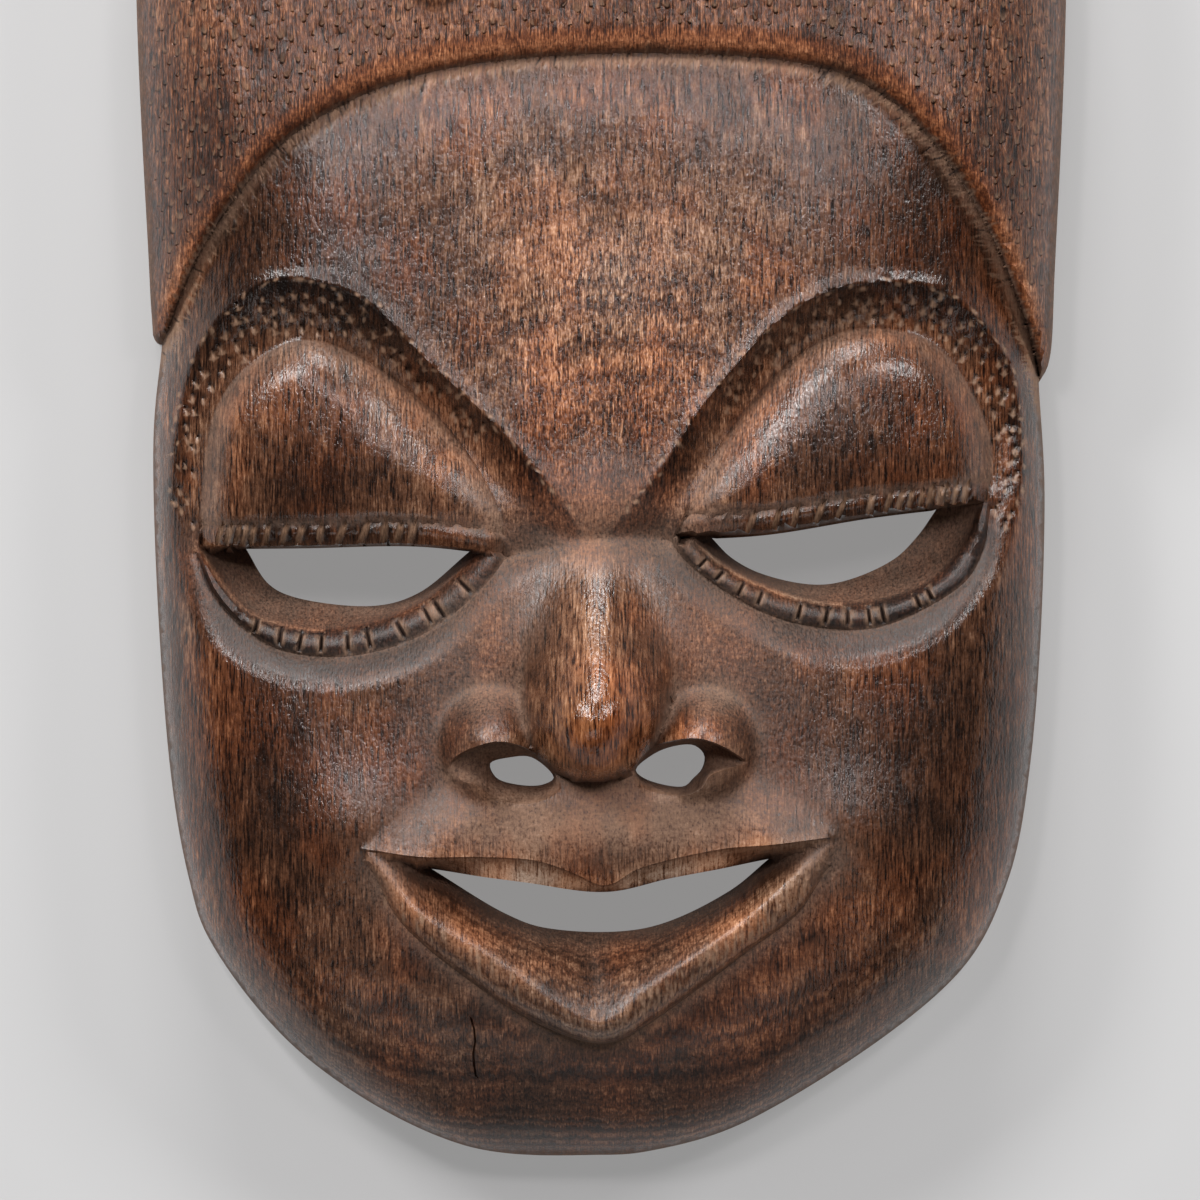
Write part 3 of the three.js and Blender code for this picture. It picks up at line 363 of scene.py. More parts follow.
class Line:
    """A line on the plan, open or closed into a loop."""

    CHUNK = 3000

    def __init__(self, points, closed=False):
        self.points = np.asarray(points, float)
        self.closed = closed
        ends = np.roll(self.points, -1, axis=0)
        self.starts = self.points if closed else self.points[:-1]
        self.ends = ends if closed else ends[:-1]
        self.low = self.points.min(axis=0)
        self.high = self.points.max(axis=0)

    def nearest(self, x, y):
        """The distance to the line, the side of it, and the share of its length at the nearest place."""
        (ax, ay), (dx, dy) = self.starts.T, (self.ends - self.starts).T
        found = np.empty((3, len(x)))
        for first in range(0, len(x), self.CHUNK):
            part = slice(first, first + self.CHUNK)
            px, py = x[part, None] - ax, y[part, None] - ay
            t = np.clip((px * dx + py * dy) / (dx * dx + dy * dy), 0, 1)
            gap = (px - t * dx) ** 2 + (py - t * dy) ** 2
            i = gap.argmin(axis=1)
            row = np.arange(len(i))
            found[0, part] = np.sqrt(gap[row, i])
            found[1, part] = np.sign(dx[i] * py[row, i] - dy[i] * px[row, i])
            found[2, part] = (i + t[row, i]) / len(ax)
        return found

    def gap(self, x, y):
        return self.nearest(x, y)[0]

    def near(self, x, y, margin=0):
        """Whether each point lies in the box round the line."""
        (west, south), (east, north) = self.low - margin, self.high + margin
        return (x > west) & (x < east) & (y > south) & (y < north)

    def holds(self, x, y):
        """Whether each point lies inside the loop."""
        (ax, ay), (bx, by) = self.points.T, np.roll(self.points, -1, axis=0).T
        slope = (bx - ax) / np.where(by == ay, 1, by - ay)
        inside = np.zeros(len(x), bool)
        near = np.flatnonzero(self.near(x, y))
        for first in range(0, len(near), self.CHUNK):
            part = near[first:first + self.CHUNK]
            px, py = x[part, None], y[part, None]
            crossed = ((ay > py) != (by > py)) & (px < ax + slope * (py - ay))
            inside[part] = crossed.sum(axis=1) % 2 == 1
        return inside


def fine_line(points, closed=False):
    return Line(smooth_line(points, FINE, closed), closed)


def loop_line(*lines):
    return Line(np.vstack(lines), closed=True)


def between(first, second):
    """The loop that two lines with neighbouring ends close."""
    return loop_line(first.points, towards(second.points, first.points[-1]))


# The lines that the carving is made from.
edges = [smooth_line(edge, OUTLINE_STEP) for edge in (FACE_EDGE, HAIR_EDGE, HAIR_TIP)]
outline = loop_line(join_loop(*edges))
face_outline = loop_line(join_loop(smooth_line(FACE_EDGE, FINE), smooth_line(FACE_UNDER_HAIR, FINE)))
hairline = fine_line(HAIRLINE)
locks = [fine_line(lock) for lock in LOCKS]
crease = fine_line(BRIDGE_CREASE)
muzzle_line = fine_line(MUZZLE)
upper_lip = fine_line(UPPER_LIP)
mouth_top = fine_line(MOUTH_TOP)
mouth_bottom = fine_line(MOUTH_BOTTOM)
lower_lip = fine_line(LOWER_LIP)
lip_foot = fine_line(LIP_FOOT)
muzzle = between(muzzle_line, upper_lip)
mouth_area = between(upper_lip, lower_lip)
under_upper_lip = between(upper_lip, mouth_top)
lip_front_loop = between(lower_lip, lip_foot)
mouth_edges = [smooth_line(edge, HOLE_STEP) for edge in (MOUTH_TOP, MOUTH_BOTTOM)]
mouth_hole = loop_line(join_loop(mouth_edges[0], mouth_edges[1][::-1]))


class Eye:
    """The lines of one eye."""

    def __init__(self, eye):
        self.middle = eye["middle"]
        self.ball = eye["ball"]
        self.ridge = fine_line(eye["ridge"], closed=True)
        self.lid = fine_line(eye["lid"])
        self.lid_edge = fine_line(eye["lid_edge"])
        self.hole_edge = Line(smooth_line(eye["hole_edge"], HOLE_STEP))
        self.bead_inside = fine_line(eye["bead_inside"])
        self.bead_outside = fine_line(eye["bead_outside"])
        self.lid_loop = between(self.lid, self.lid_edge)
        self.wall_loop = between(self.bead_inside, self.lid_edge)
        self.bead_loop = between(self.bead_outside, self.lid_edge)
        west, east = sorted(self.hole_edge.points[[0, -1], 0])
        top = smooth_line(eye["lid_edge"], HOLE_STEP)
        top = top[(top[:, 0] > west + 1) & (top[:, 0] < east - 1)] - (0, 2 * STEP_GAP)
        self.hole = between(self.hole_edge, Line(top))
        self.depth, self.cove = (ring_profile(eye["fall"], column) for column in (1, 2))
        self.lash_notches = eye["lash_notches"]
        self.bead_notches = eye["bead_notches"]
        self.stroke_lean = eye["stroke_lean"]


eyes = [Eye(eye) for eye in EYES]
nostril_areas = [loop_line(join_loop(smooth_line(one["brow"], FINE), smooth_line(one["ledge"], FINE)))
                 for one in NOSTRILS]
nostril_holes = [Line(smooth_line(one["hole"], HOLE_STEP, closed=True), closed=True) for one in NOSTRILS]
holes = [*(eye.hole for eye in eyes), *nostril_holes, mouth_hole]
loops = [outline, *holes]
shared = sum(len(loop.points) for loop in loops)

face_middle = profile(FACE_PROFILE)
hair_middle = profile(HAIR_PROFILE)
hollow_middle = profile(HOLLOW_PROFILE)
nose_axis = profile(NOSE_AXIS)
nose_crest = profile(NOSE_CREST)
nose_half_width = profile(NOSE_HALF_WIDTH)


# The solid's form, as heights above the back of the rim. Each step changes the heights where it applies.
def back_height(x, y):
    reach = outline.gap(x, y) - RIM_WIDTH
    return hollow_middle(y) * quarter(reach / HOLLOW_ROUNDING)


def dome(middle, reach, radius, form):
    """A domed surface whose edge is a quarter-round standing on the side wall."""
    surface = soft_min(middle, SIDE_HEIGHT + form.rise * quarter(reach / radius), form.blend)
    return np.where(reach <= 0, SIDE_HEIGHT, mix(SIDE_HEIGHT, surface, ease(-0.5, 1.2, reach)))


def head_height(x, y):
    """The plain dome of the face, with the hair standing proud of it above the hairline."""
    in_face = np.where(face_outline.holds(x, y), face_outline.gap(x, y), 0)
    edge = FACE_ROUND.edge + FACE_ROUND.wide_edge * ease(-20, 60, x)
    face = dome(face_middle(y) - FACE_ROUND.bow * x * x, in_face, edge, FACE_ROUND)
    distance, side, share = hairline.nearest(x, y)
    in_hair = outline.gap(x, y)
    hair = dome(hair_middle(y) - HAIR_ROUND.bow * x * x, in_hair, HAIR_ROUND.edge, HAIR_ROUND)
    height = mix(face, hair, quarter(distance / hair_lip(share), 2.2))
    for lock in locks:
        height += LOCK_HEIGHT * np.sqrt(np.clip(1 - (lock.gap(x, y) / LOCK_WIDTH) ** 2, 0, 1))
    return np.where(side > 0, height, face)


def add_bridge(height, x, y):
    distance, side, share = crease.nearest(x, y)
    groove = np.exp(-((distance / np.where(side > 0, BRIDGE.above, BRIDGE.below)) ** 1.3))
    depth = (BRIDGE.depth + BRIDGE.ends * (1 - from_ends(share))) * ease(-29, -22, x) * ease(22, 15, x)
    close = (abs(x) <= BRIDGE.reach) & (abs(y) <= BRIDGE.reach)
    return np.where(close, height + BRIDGE.swell * hump(x, y, 0, 9, 11, 9) - depth * groove, height)


def add_nose(height, x, y):
    crest = nose_crest(y)
    off = abs(x - nose_axis(y)) / nose_half_width(y)
    bulb = (1 - np.minimum(off, 1) ** NOSE_ROUND.across) ** NOSE_ROUND.crown
    flare = np.exp(-((off * NOSE_ROUND.flare) ** 2.2))
    share = mix(bulb, flare, ease(NOSE_ROUND.flare_foot, NOSE_ROUND.flare_top, y))
    raised = height + (crest - height) * share
    return np.where((y > NOSE_ROUND.top) | (y < NOSE_FOOT) | (crest <= height), height, raised)


def add_wings(height, x, y):
    for wing in NOSE_WINGS:
        turn = math.radians(wing["turn"])
        u = ((x - wing["x"]) * math.cos(turn) + (y - wing["y"]) * math.sin(turn)) / wing["long"]
        v = (-(x - wing["x"]) * math.sin(turn) + (y - wing["y"]) * math.cos(turn)) / wing["wide"]
        room = np.clip(1 - u * u - v * v, 0, 1)
        height = np.where(room > 0, soft_max(height, WING_FOOT + wing["height"] * room ** 0.7, 8), height)
    return height


def muzzle_rise(x, y):
    off = x + 2 + PHILTRUM.lean * (y + 70)
    philtrum = PHILTRUM.depth * fade(off, PHILTRUM.width) * ease(-60, -66, y)
    middle = MUZZLE_SWELL * hump(x, y, 0, -72, 20, 9) - philtrum
    reach = muzzle_line.gap(x, y)
    return MUZZLE_RISE * ease(-1, 13, reach) + middle * ease(0, 5, reach)


def add_muzzle(height, x, y, on_muzzle):
    cheeks = sum(CHEEK_RISE * hump(x, y, *place, *CHEEK_SIZE) for place in CHEEKS)
    return height + cheeks + np.where(on_muzzle, muzzle_rise(x, y), 0)


def carve_eye(height, x, y, eye):
    """The gouged cove under the brow, the lid with its lash band, the bead and the opening's wall."""
    angle = np.degrees(np.arctan2(y - eye.middle[1], x - eye.middle[0])) % 360
    reach = eye.ridge.gap(x, y)
    on_lid = eye.lid_loop.holds(x, y)
    depth = mix(eye.depth(angle), LID.floor, ease(9, 26, reach))
    share = reach / (reach + np.where(on_lid, 0, eye.lid.gap(x, y)) + TINY)
    slope = 1 - (1 - 1.2 * share * share / (share + 0.2)).clip(0) ** 1.8
    floor = height - depth * mix(ease(0, SOCKET_WIDTH, reach), slope, eye.cove(angle))
    to_outside, to_inside = eye.bead_outside.gap(x, y), eye.bead_inside.gap(x, y)
    result = floor - 0.8 * fade(to_outside, 1)
    across = to_outside / (to_outside + to_inside + TINY)
    arch = np.sin(np.pi * across).clip(0) ** 0.8
    bead = floor - BEAD.foot + BEAD.rise * arch - BEAD.lean * across
    result = np.where(eye.bead_loop.holds(x, y), bead, result)
    down = to_inside / (to_inside + eye.hole_edge.gap(x, y) + TINY)
    wall = mix(floor - BEAD.back, back_height(x, y) + EYE_LIP, down ** 0.75)
    result = np.where(eye.wall_loop.holds(x, y), wall, result)
    return np.where(on_lid, lid_height(floor, x, y, eye), result)


def lid_height(floor, x, y, eye):
    to_border = eye.lid.gap(x, y)
    to_edge = eye.lid_edge.gap(x, y)
    ball_x, ball_y, ball_width, ball_length = eye.ball
    inside = 1 - ((x - ball_x) / ball_width) ** 2 - ((y - ball_y) / ball_length) ** 2
    bulge = LID.ball * np.clip(inside, 0, 1)
    curl = LID.curl * np.clip(1 - to_edge / LID.curl_width, 0, 1) ** 2
    groove = LID.groove * fade(to_edge - LID.band, 0.8)
    band = LID.band_rise * np.sin(np.pi * np.clip(to_edge / LID.band, 0, 1))
    shoulder = LID.rise * (1 - (1 - to_border / LID.run).clip(0) ** 2.4)
    return floor - 0.6 + shoulder + bulge - curl - groove + band


def carve_nostril(height, x, y, area, hole):
    to_brow = area.gap(x, y)
    down = to_brow / (to_brow + hole.gap(x, y) + TINY)
    return np.minimum(height, mix(NOSTRIL_SHELF, back_height(x, y) + NOSTRIL_LIP, down ** 1.3))


def carve_mouth(height, x, y, on_muzzle):
    to_ridge, _, share = lower_lip.nearest(x, y)
    middle = from_ends(share)
    ridge = (LIP_RIDGE.height + LIP_RIDGE.rise * ease(0, 0.5, middle)
             + LIP_RIDGE.peak * ease(0.6, 1, middle))
    ridge = mix(height, ridge, ease(0, LIP_RIDGE.fade, middle))
    edge = back_height(x, y) + MOUTH_LIP
    to_lip = upper_lip.gap(x, y)
    to_top, _, along = mouth_top.nearest(x, y)
    lip_front = height + muzzle_rise(x, y) - UPPER_EDGE.bevel
    lip_back = mix(edge, lip_front - UPPER_EDGE.fall, ease(0, 0.35, from_ends(along)))
    under_lip = mix(lip_front, lip_back, to_lip / (to_lip + to_top + TINY))
    to_hole = mouth_bottom.gap(x, y)
    bowl = mix(ridge, edge, (to_ridge / (to_hole + to_ridge + TINY)) ** 1.5)
    to_foot = lip_foot.gap(x, y)
    down = to_ridge / (to_ridge + to_foot + TINY)
    front = mix(ridge, height - LIP_GROOVE.depth, 1 - quarter(1 - down, 1.8))
    groove = LIP_GROOVE.depth * np.exp(-((to_foot / LIP_GROOVE.width) ** 1.5))
    result = np.where(on_muzzle, height, height - groove)
    result = np.where(lip_front_loop.holds(x, y), front, result)
    result = np.where(mouth_area.holds(x, y), bowl, result)
    under = under_upper_lip.holds(x, y) | (to_top < 0.1)
    return np.where(under, under_lip, result)


def carve(height, where, step):
    """Runs one carving step on the points where it applies."""
    index = np.flatnonzero(where)
    result = height.copy()
    if len(index):
        result[index] = step(height[index], index)
    return result


def front_height(x, y):
    """The whole carved front, as the solid has it."""
    on_muzzle = muzzle.holds(x, y)
    height = add_wings(add_nose(add_bridge(head_height(x, y), x, y), x, y), x, y)
    height = add_muzzle(height, x, y, on_muzzle)
    for eye in eyes:
        height = carve(height, eye.ridge.holds(x, y), lambda h, i: carve_eye(h, x[i], y[i], eye))
    for area, hole in zip(nostril_areas, nostril_holes):
        height = carve(height, area.holds(x, y), lambda h, i: carve_nostril(h, x[i], y[i], area, hole))
    return carve(height, y <= -58, lambda h, i: carve_mouth(h, x[i], y[i], on_muzzle[i]))


# Marks of the tools: each is a place, a turn, half a width, half a length, a depth and a form. A form gives,
# for u across the mark and v along it, the shares of its depth, of painted shade and of bare wood.
def crescent(u, v):
    """A thumbnail of a punch: a groove round the lower half of a circle, its shade painted dark."""
    radius = np.hypot(u, v)
    lower = np.clip(1.2 - abs(np.arctan2(u, -v)) / 1.5, 0, 1)
    groove = np.clip(1 - ((radius - 0.75) / 0.45) ** 2, 0, 1) * lower
    return groove, groove, 0.75 * np.clip(1 - (radius / 0.75) ** 2, 0, 1) * (1 - groove)


def drop(u, v):
    """A narrow chip, bare below, with the shade of the pit at its upper end painted dark."""
    inside = np.clip(1 - u * u - v * v, 0, 1) ** 0.3
    pit = np.clip(1.2 - np.hypot((u - 0.3) / 0.8, (v - 0.75) / 0.4), 0, 1)
    return inside * (0.4 + 0.5 * v) + 0.7 * pit, np.clip(1.4 * pit, 0, 1), 0.8 * inside * ease(0.6, 0.2, v)


def notch(u, v):
    """A V cut with closed ends, its shade painted dark inside and bare along its edges."""
    inside = np.clip(1 - abs(u), 0, 1) * np.clip(1 - v ** 4, 0, 1) ** 0.5
    edges = np.clip(1 - abs(abs(u) - 1.1) / 0.6, 0, 1) * (abs(v) < 1)
    return inside, np.clip(1.6 * inside, 0, 1), 0.6 * edges


def leaf(u, v):
    """A leaf-shaped chip, bare inside, with shade painted dark along one edge."""
    inside = np.clip(1 - abs(u) / (np.clip(1 - v * v, 0, 1) ** 0.7 + TINY), 0, 1)
    dark = np.clip(1.3 - abs(u - 0.85) / 0.4, 0, 1) * (abs(v) < 0.9)
    return inside ** 0.7, dark, np.clip(2.6 * inside, 0, 1) * (1 - dark)


def scratch(u, v):
    """A fine bare scratch."""
    inside = np.clip(1 - abs(u), 0, 1) * np.clip(1 - v * v, 0, 1)
    return inside, 0 * inside, 0.9 * np.clip(1.5 * inside, 0, 1)


def crack(u, v):
    """A fine split, its shade painted dark."""
    inside = np.clip(1 - abs(u), 0, 1) * (abs(v) < 1)
    return inside, np.clip(2 * inside, 0, 1), 0 * inside


def ring_of(radius, count, first=0.0, turn=360.0):
    """Places on a circle, or on a part of one, from its bottom."""
    angles = [math.radians(first + turn * i / count) for i in range(count)]
    return [(radius * math.sin(a), -radius * math.cos(a)) for a in angles]


def lattice(columns, rows):
    return [(u, v) for v in rows for u in columns]


# The places of the mesh's points that each form needs.
PLACES = {
    crescent: [(0, 0), *(place for radius in (0.4, 0.75, 1.2) for place in ring_of(radius, 5, -80, 200))],
    drop: [(0, -0.5), (0, 0), (0, 0.45), (0, 0.8), *ring_of(0.6, 4, 45), *ring_of(1, 8)],
    notch: lattice((-1.2, -0.7, 0, 0.7, 1.2), (-1, -0.5, 0, 0.5, 1)),
    leaf: lattice((-1, -0.5, 0, 0.5, 1), (-0.9, -0.45, 0, 0.45, 0.9)),
    scratch: lattice((-1, 0, 1), (-0.9, -0.3, 0.3, 0.9)),
    crack: lattice((-1, 0, 1), (-1, -0.5, 0, 0.5, 1)),
}


class Mark:
    def __init__(self, x, y, turn, half_width, half_length, depth, form):
        self.x, self.y, self.depth, self.form = x, y, depth, form
        self.cos, self.sin = math.cos(math.radians(turn)), math.sin(math.radians(turn))
        self.half_width, self.half_length = half_width, half_length
        self.reach = 1.6 * max(half_width, half_length)

    def places(self):
        for u, v in PLACES[self.form]:
            across, along = u * self.half_width, v * self.half_length
            yield (self.x + across * self.cos - along * self.sin,
                   self.y + across * self.sin + along * self.cos)

    def cut(self, x, y):
        """The mark's depth, painted shade and bare wood at each place."""
        across = (x - self.x) * self.cos + (y - self.y) * self.sin
        along = (y - self.y) * self.cos - (x - self.x) * self.sin
        inside, dark, bare = self.form(across / self.half_width, along / self.half_length)
        return self.depth * inside, dark, bare


def beside(x, y, turn, away, slide):
    """A place off a line that runs at that turn: away to its left and slid along it."""
    cos, sin = math.cos(math.radians(turn)), math.sin(math.radians(turn))
    return x - away * sin + slide * cos, y + away * cos + slide * sin


def along_line(line, every):
    """Places along a line with the line's turn there and their share of its length."""
    points = line.points
    steps = np.roll(points, -1, axis=0) - points if line.closed else np.gradient(points, axis=0)
    turns = np.degrees(np.arctan2(steps[:, 1], steps[:, 0]))
    return list(zip(*points.T, turns, np.linspace(0, 1, len(points))))[::every]


def scattered(gap, low, high, random):
    """Places about a gap apart, a little out of order as by hand, as two arrays."""
    rows = np.arange(low[1], high[1], gap * 0.866)
    columns = np.arange(low[0], high[0], gap)
    x, y = np.meshgrid(columns, rows)
    x = x + (np.arange(len(rows)) % 2)[:, None] * gap / 2
    x = x + random.uniform(-0.3, 0.3, x.shape) * gap
    y = y + random.uniform(-0.3, 0.3, y.shape) * gap
    return x.ravel(), y.ravel()


def hair_punches(random):
    x, y = scattered(PUNCH_GAP, outline.low, outline.high, random)
    distance, side, share = hairline.nearest(x, y)
    free = (side > 0) & (distance > 0.7 * hair_lip(share) + 1.5)
    free &= outline.holds(x, y) & (outline.gap(x, y) > 3)
    for lock in locks:
        free &= lock.gap(x, y) > LOCK_WIDTH + 1.2
    for px, py in zip(x[free], y[free]):
        size = PUNCH_RADIUS * random.uniform(0.7, 1.2)
        depth = random.uniform(0.4, 0.9)
        yield Mark(px, py, random.normal(0, 14), size, size * random.uniform(0.9, 1.15), depth, crescent)


def hairline_scratches(random):
    """Fine strokes of the knife across the foot of the hair, close at the sides and sparse over the brow."""
    for x, y, turn, share in along_line(hairline, 1):
        for _ in range(3):
            if random.uniform() > 0.95 - 0.6 * from_ends(share):
                continue
            away = random.uniform(-3.2, 0.6)
            place = beside(x, y, turn, away, random.uniform(-0.5, 0.5))
            length = random.uniform(0.9, 2.1)
            form = scratch if random.uniform() < 0.95 else crack
            turned = turn - 20 + random.normal(0, 12)
            yield Mark(*place, turned, 0.36, length, random.uniform(0.15, 0.4), form)


def brow_strokes(eye, random):
    x, y = scattered(STROKE_GAP, eye.ridge.low, eye.ridge.high, random)
    free = eye.ridge.holds(x, y) & ~eye.lid_loop.holds(x, y) & ~eye.bead_loop.holds(x, y)
    free &= (y > 4) & (abs(x) > STROKE_FROM) & (eye.ridge.gap(x, y) > 1.2) & (eye.lid.gap(x, y) > 1.8)
    for px, py in zip(x[free], y[free]):
        turn = 0.35 * eye.stroke_lean + random.normal(0, 14)
        width = random.uniform(0.5, 0.85)
        yield Mark(px, py, turn, width, random.uniform(1.3, 2.1), random.uniform(0.3, 0.9), drop)


def ridge_chips(eye, random):
    """Small bare chips on the brow's edge, where the tool ran over it."""
    for x, y, turn, _ in along_line(eye.ridge, 3):
        if y > 8 and random.uniform() < 0.7:
            place = beside(x, y, turn, random.normal(0, 0.7), 0)
            width, length = random.uniform(0.45, 0.8), random.uniform(0.7, 1.3)
            turned = turn + 90 + random.normal(0, 25)
            yield Mark(*place, turned, width, length, random.uniform(0.15, 0.35), scratch)


def lip_cuts(random):
    """Upright strokes of the gouge down the lower lip's front, most of them on the photograph's right."""
    for x, y, turn, share in along_line(lower_lip, 1):
        often = mix(0.15, 0.6, ease(0.35, 0.6, share)) * ease(0.08, 0.28, from_ends(share))
        for away in (1.4, 3.8):
            if random.uniform() < often:
                place = beside(x, y, turn, -away + random.uniform(-0.8, 0.8), random.uniform(-0.5, 0.5))
                width, length = random.uniform(0.35, 0.6), random.uniform(1.1, 2.4)
                yield Mark(*place, random.normal(4, 6), width, length, random.uniform(0.15, 0.45), scratch)


def chin_crack():
    points = smooth_line(CHIN_CRACK, 3)
    for (x, y), (far_x, far_y) in zip(points[:-1], points[1:]):
        turn = math.degrees(math.atan2(x - far_x, far_y - y))
        half = math.hypot(far_x - x, far_y - y) / 2
        yield Mark((x + far_x) / 2, (y + far_y) / 2, turn, 0.3, 1.1 * half, 0.7, crack)


def lid_notches(eye, random):
    """The cuts across the lash band and across the bead."""
    edge = eye.lid_edge.points[np.argsort(eye.lid_edge.points[:, 0])]
    for x in eye.lash_notches:
        y = np.interp(x, edge[:, 0], edge[:, 1]) + 0.54 * LID.band
        width, turn, length = random.uniform(0.8, 1.2), random.normal(-13, 5), random.uniform(2.4, 3.3)
        yield Mark(x, y, turn, width, length, random.uniform(0.8, 1.3), leaf)
    outside = eye.bead_outside.points[np.argsort(eye.bead_outside.points[:, 0])]
    for x in eye.bead_notches:
        foot = np.array([x, np.interp(x, outside[:, 0], outside[:, 1])])
        inner = eye.bead_inside.points
        top = inner[np.argmin(np.hypot(*(inner - foot).T))]
        middle, way = (foot + top) / 2, top - foot
        turn = math.degrees(math.atan2(-way[0], way[1])) + random.normal(0, 6)
        length = 0.42 * np.hypot(*way)
        yield Mark(*middle, turn, random.uniform(0.45, 0.7), length, random.uniform(1.0, 1.5), notch)


random = np.random.default_rng(7)
marks = [*hair_punches(random), *hairline_scratches(random), *lip_cuts(random), *chin_crack()]
for one_eye in eyes:
    marks += [*brow_strokes(one_eye, random), *ridge_chips(one_eye, random), *lid_notches(one_eye, random)]


def tree_of(x, y):
    """The places, made ready for finding the nearest ones."""
    tree = kdtree.KDTree(len(x))
    for i, (px, py) in enumerate(zip(x.tolist(), y.tolist())):
        tree.insert((px, py, 0), i)
    tree.balance()
    return tree


def cut_marks(x, y):
    """How deep the marks go at each place, how much shade is painted dark in them and how bare the wood is.
    """
    tree = tree_of(x, y)
    result = np.zeros((3, len(x)))
    for mark in marks:
        near = [i for _, i, _ in tree.find_range((mark.x, mark.y, 0), mark.reach)]
        if near:
            result[:, near] = np.maximum(result[:, near], mark.cut(x[near], y[near]))
    return result


def waves(x, y, width, length, seed):
    """Smooth random waves between -1 and 1, of a width along X and a length along Y."""
    table = np.random.default_rng(seed).uniform(-1, 1, (WAVE_CELLS, WAVE_CELLS))
    u, v = x / width, y / length
    i, j = np.floor(u).astype(int), np.floor(v).astype(int)
    s, t = ease(0, 1, u - i), ease(0, 1, v - j)

    def corner(a, b):
        return table[(i + a) % WAVE_CELLS, (j + b) % WAVE_CELLS]

    return mix(mix(corner(0, 0), corner(1, 0), s), mix(corner(0, 1), corner(1, 1), s), t)


def on_hair(x, y):
    return hairline.nearest(x, y)[1] > 0


def fine_relief(x, y):
    """Shallow flats that the knife left, longer along the grain, and the thin raised lip of the brows."""
    flutes = 0.12 * waves(x, y, 3.4, 26, 1) + 0.26 * waves(x, y, 9, 30, 2)
    flats = 0.16 * waves(x, y, 7, 11, 3) + 0.24 * waves(x, y, 19, 27, 4)
    relief = np.where(on_hair(x, y), flutes, flats)
    for eye in eyes:
        width = np.where(eye.ridge.holds(x, y), 0.8, 1.8)
        relief += BROW_LIP * fade(eye.ridge.gap(x, y), width) * ease(4, 22, y)
    return relief * ease(0, 5, outline.gap(x, y))


def hollow_height(x, y):
    """The hollow back, with shallow bowls of a gouge in it everywhere but at the loops."""
    tree = tree_of(*scattered(1.0, (-14, -12), (14, 19), np.random.default_rng(5)))
    places = zip(x / GOUGE.width, y / GOUGE.length)
    reach = np.array([tree.find((*place, 0))[2] for place in places])
    height = back_height(x, y)
    depth = GOUGE.depth * ease(0, 4, height)
    depth[:shared] = 0
    return np.maximum(height - depth * (1 - reach ** 2), 0)


# Points on the plan, and the mesh between them.
class PointSet:
    """Points that keep at least a gap from each other."""

    CELL = 1.6

    def __init__(self):
        self.points = []
        self.cells = {}

    def add(self, places, gap=0.0):
        for x, y in places:
            i, j = int(x // self.CELL), int(y // self.CELL)
            if gap and any(math.hypot(x - px, y - py) < gap for a in (-1, 0, 1) for b in (-1, 0, 1)
                           for px, py in self.cells.get((i + a, j + b), ())):
                continue
            self.points.append((x, y))
            self.cells.setdefault((i, j), []).append((x, y))


def in_wood(x, y):
    wood = outline.holds(x, y)
    for hole in holes:
        wood &= ~hole.holds(x, y)
    return wood


def clear_places(places, margin=0.4):
    """The places that lie in the wood and not against a loop's edge."""
    places = np.asarray(places, float).reshape(-1, 2)
    x, y = places.T
    clear = in_wood(x, y)
    for loop in loops:
        index = np.flatnonzero(clear & loop.near(x, y, 1))
        if len(index):
            clear[index] = loop.gap(x[index], y[index]) > margin
    return places[clear].tolist()


def row_beside(line, offset):
    """The line moved sideways, left out where that brings it nearer than the offset."""
    points = line.points
    if line.closed:
        steps = np.roll(points, -1, axis=0) - np.roll(points, 1, axis=0)
    else:
        steps = np.gradient(points, axis=0)
    steps /= np.hypot(*steps.T)[:, None]
    moved = points + offset * np.column_stack([-steps[:, 1], steps[:, 0]])
    return moved[line.gap(*moved.T) > abs(offset) - 0.1]


def loop_points():
    points = PointSet()
    for loop in loops:
        points.add(loop.points.tolist())
    return points


def front_points():
    """Points on both sides of every step and along every ridge and groove, in every mark, and between."""
    points = loop_points()
    steps = [upper_lip, *(eye.lid for eye in eyes), *nostril_areas]
    rows = [lower_lip, lip_foot, hairline, crease]
    for eye in eyes:
        rows += [eye.ridge, eye.bead_outside, eye.bead_inside]
        points.add(clear_places(row_beside(eye.lid_edge, 0.1), 0.05), 0.3)
    for lines, offsets, gap in ((steps, (-STEP_GAP, STEP_GAP), 0.4), (rows, (0, -0.9, 0.9), 0.6)):
        for line in lines:
            for offset in offsets:
                points.add(clear_places(row_beside(line, offset)), gap)
    points.add(clear_places([place for mark in marks for place in mark.places()]), 0.22)
    for gap, least, seed, hairy in ((FACE_GRID, 0.62, 11, False), (HAIR_GRID, 0.5, 12, True)):
        x, y = scattered(gap, outline.low, outline.high, np.random.default_rng(seed))
        points.add(clear_places(np.column_stack([x, y])[on_hair(x, y) == hairy]), least * gap)
    return np.array(points.points)


def back_points():
    points = loop_points()
    for offset in (0, 0.9):
        points.add(clear_places(row_beside(outline, RIM_WIDTH + offset)), 0.7)
    places = scattered(BACK_GRID, outline.low, outline.high, np.random.default_rng(13))
    points.add(clear_places(np.column_stack(places)), 1.5)
    return np.array(points.points)


def triangles(points):
    """Triangles over the wood, with every loop's edges kept."""
    kept = []
    for loop in loops:
        first, count = len(kept), len(loop.points)
        kept += [(first + i, first + (i + 1) % count) for i in range(count)]
    made = delaunay_2d_cdt([Vector(point) for point in points.tolist()], kept, [], 0, TINY)
    if len(made[0]) != len(points):
        raise RuntimeError("the points were changed between the loops")
    faces = np.array(made[2])
    return faces[in_wood(*points[faces].mean(axis=1).T)]


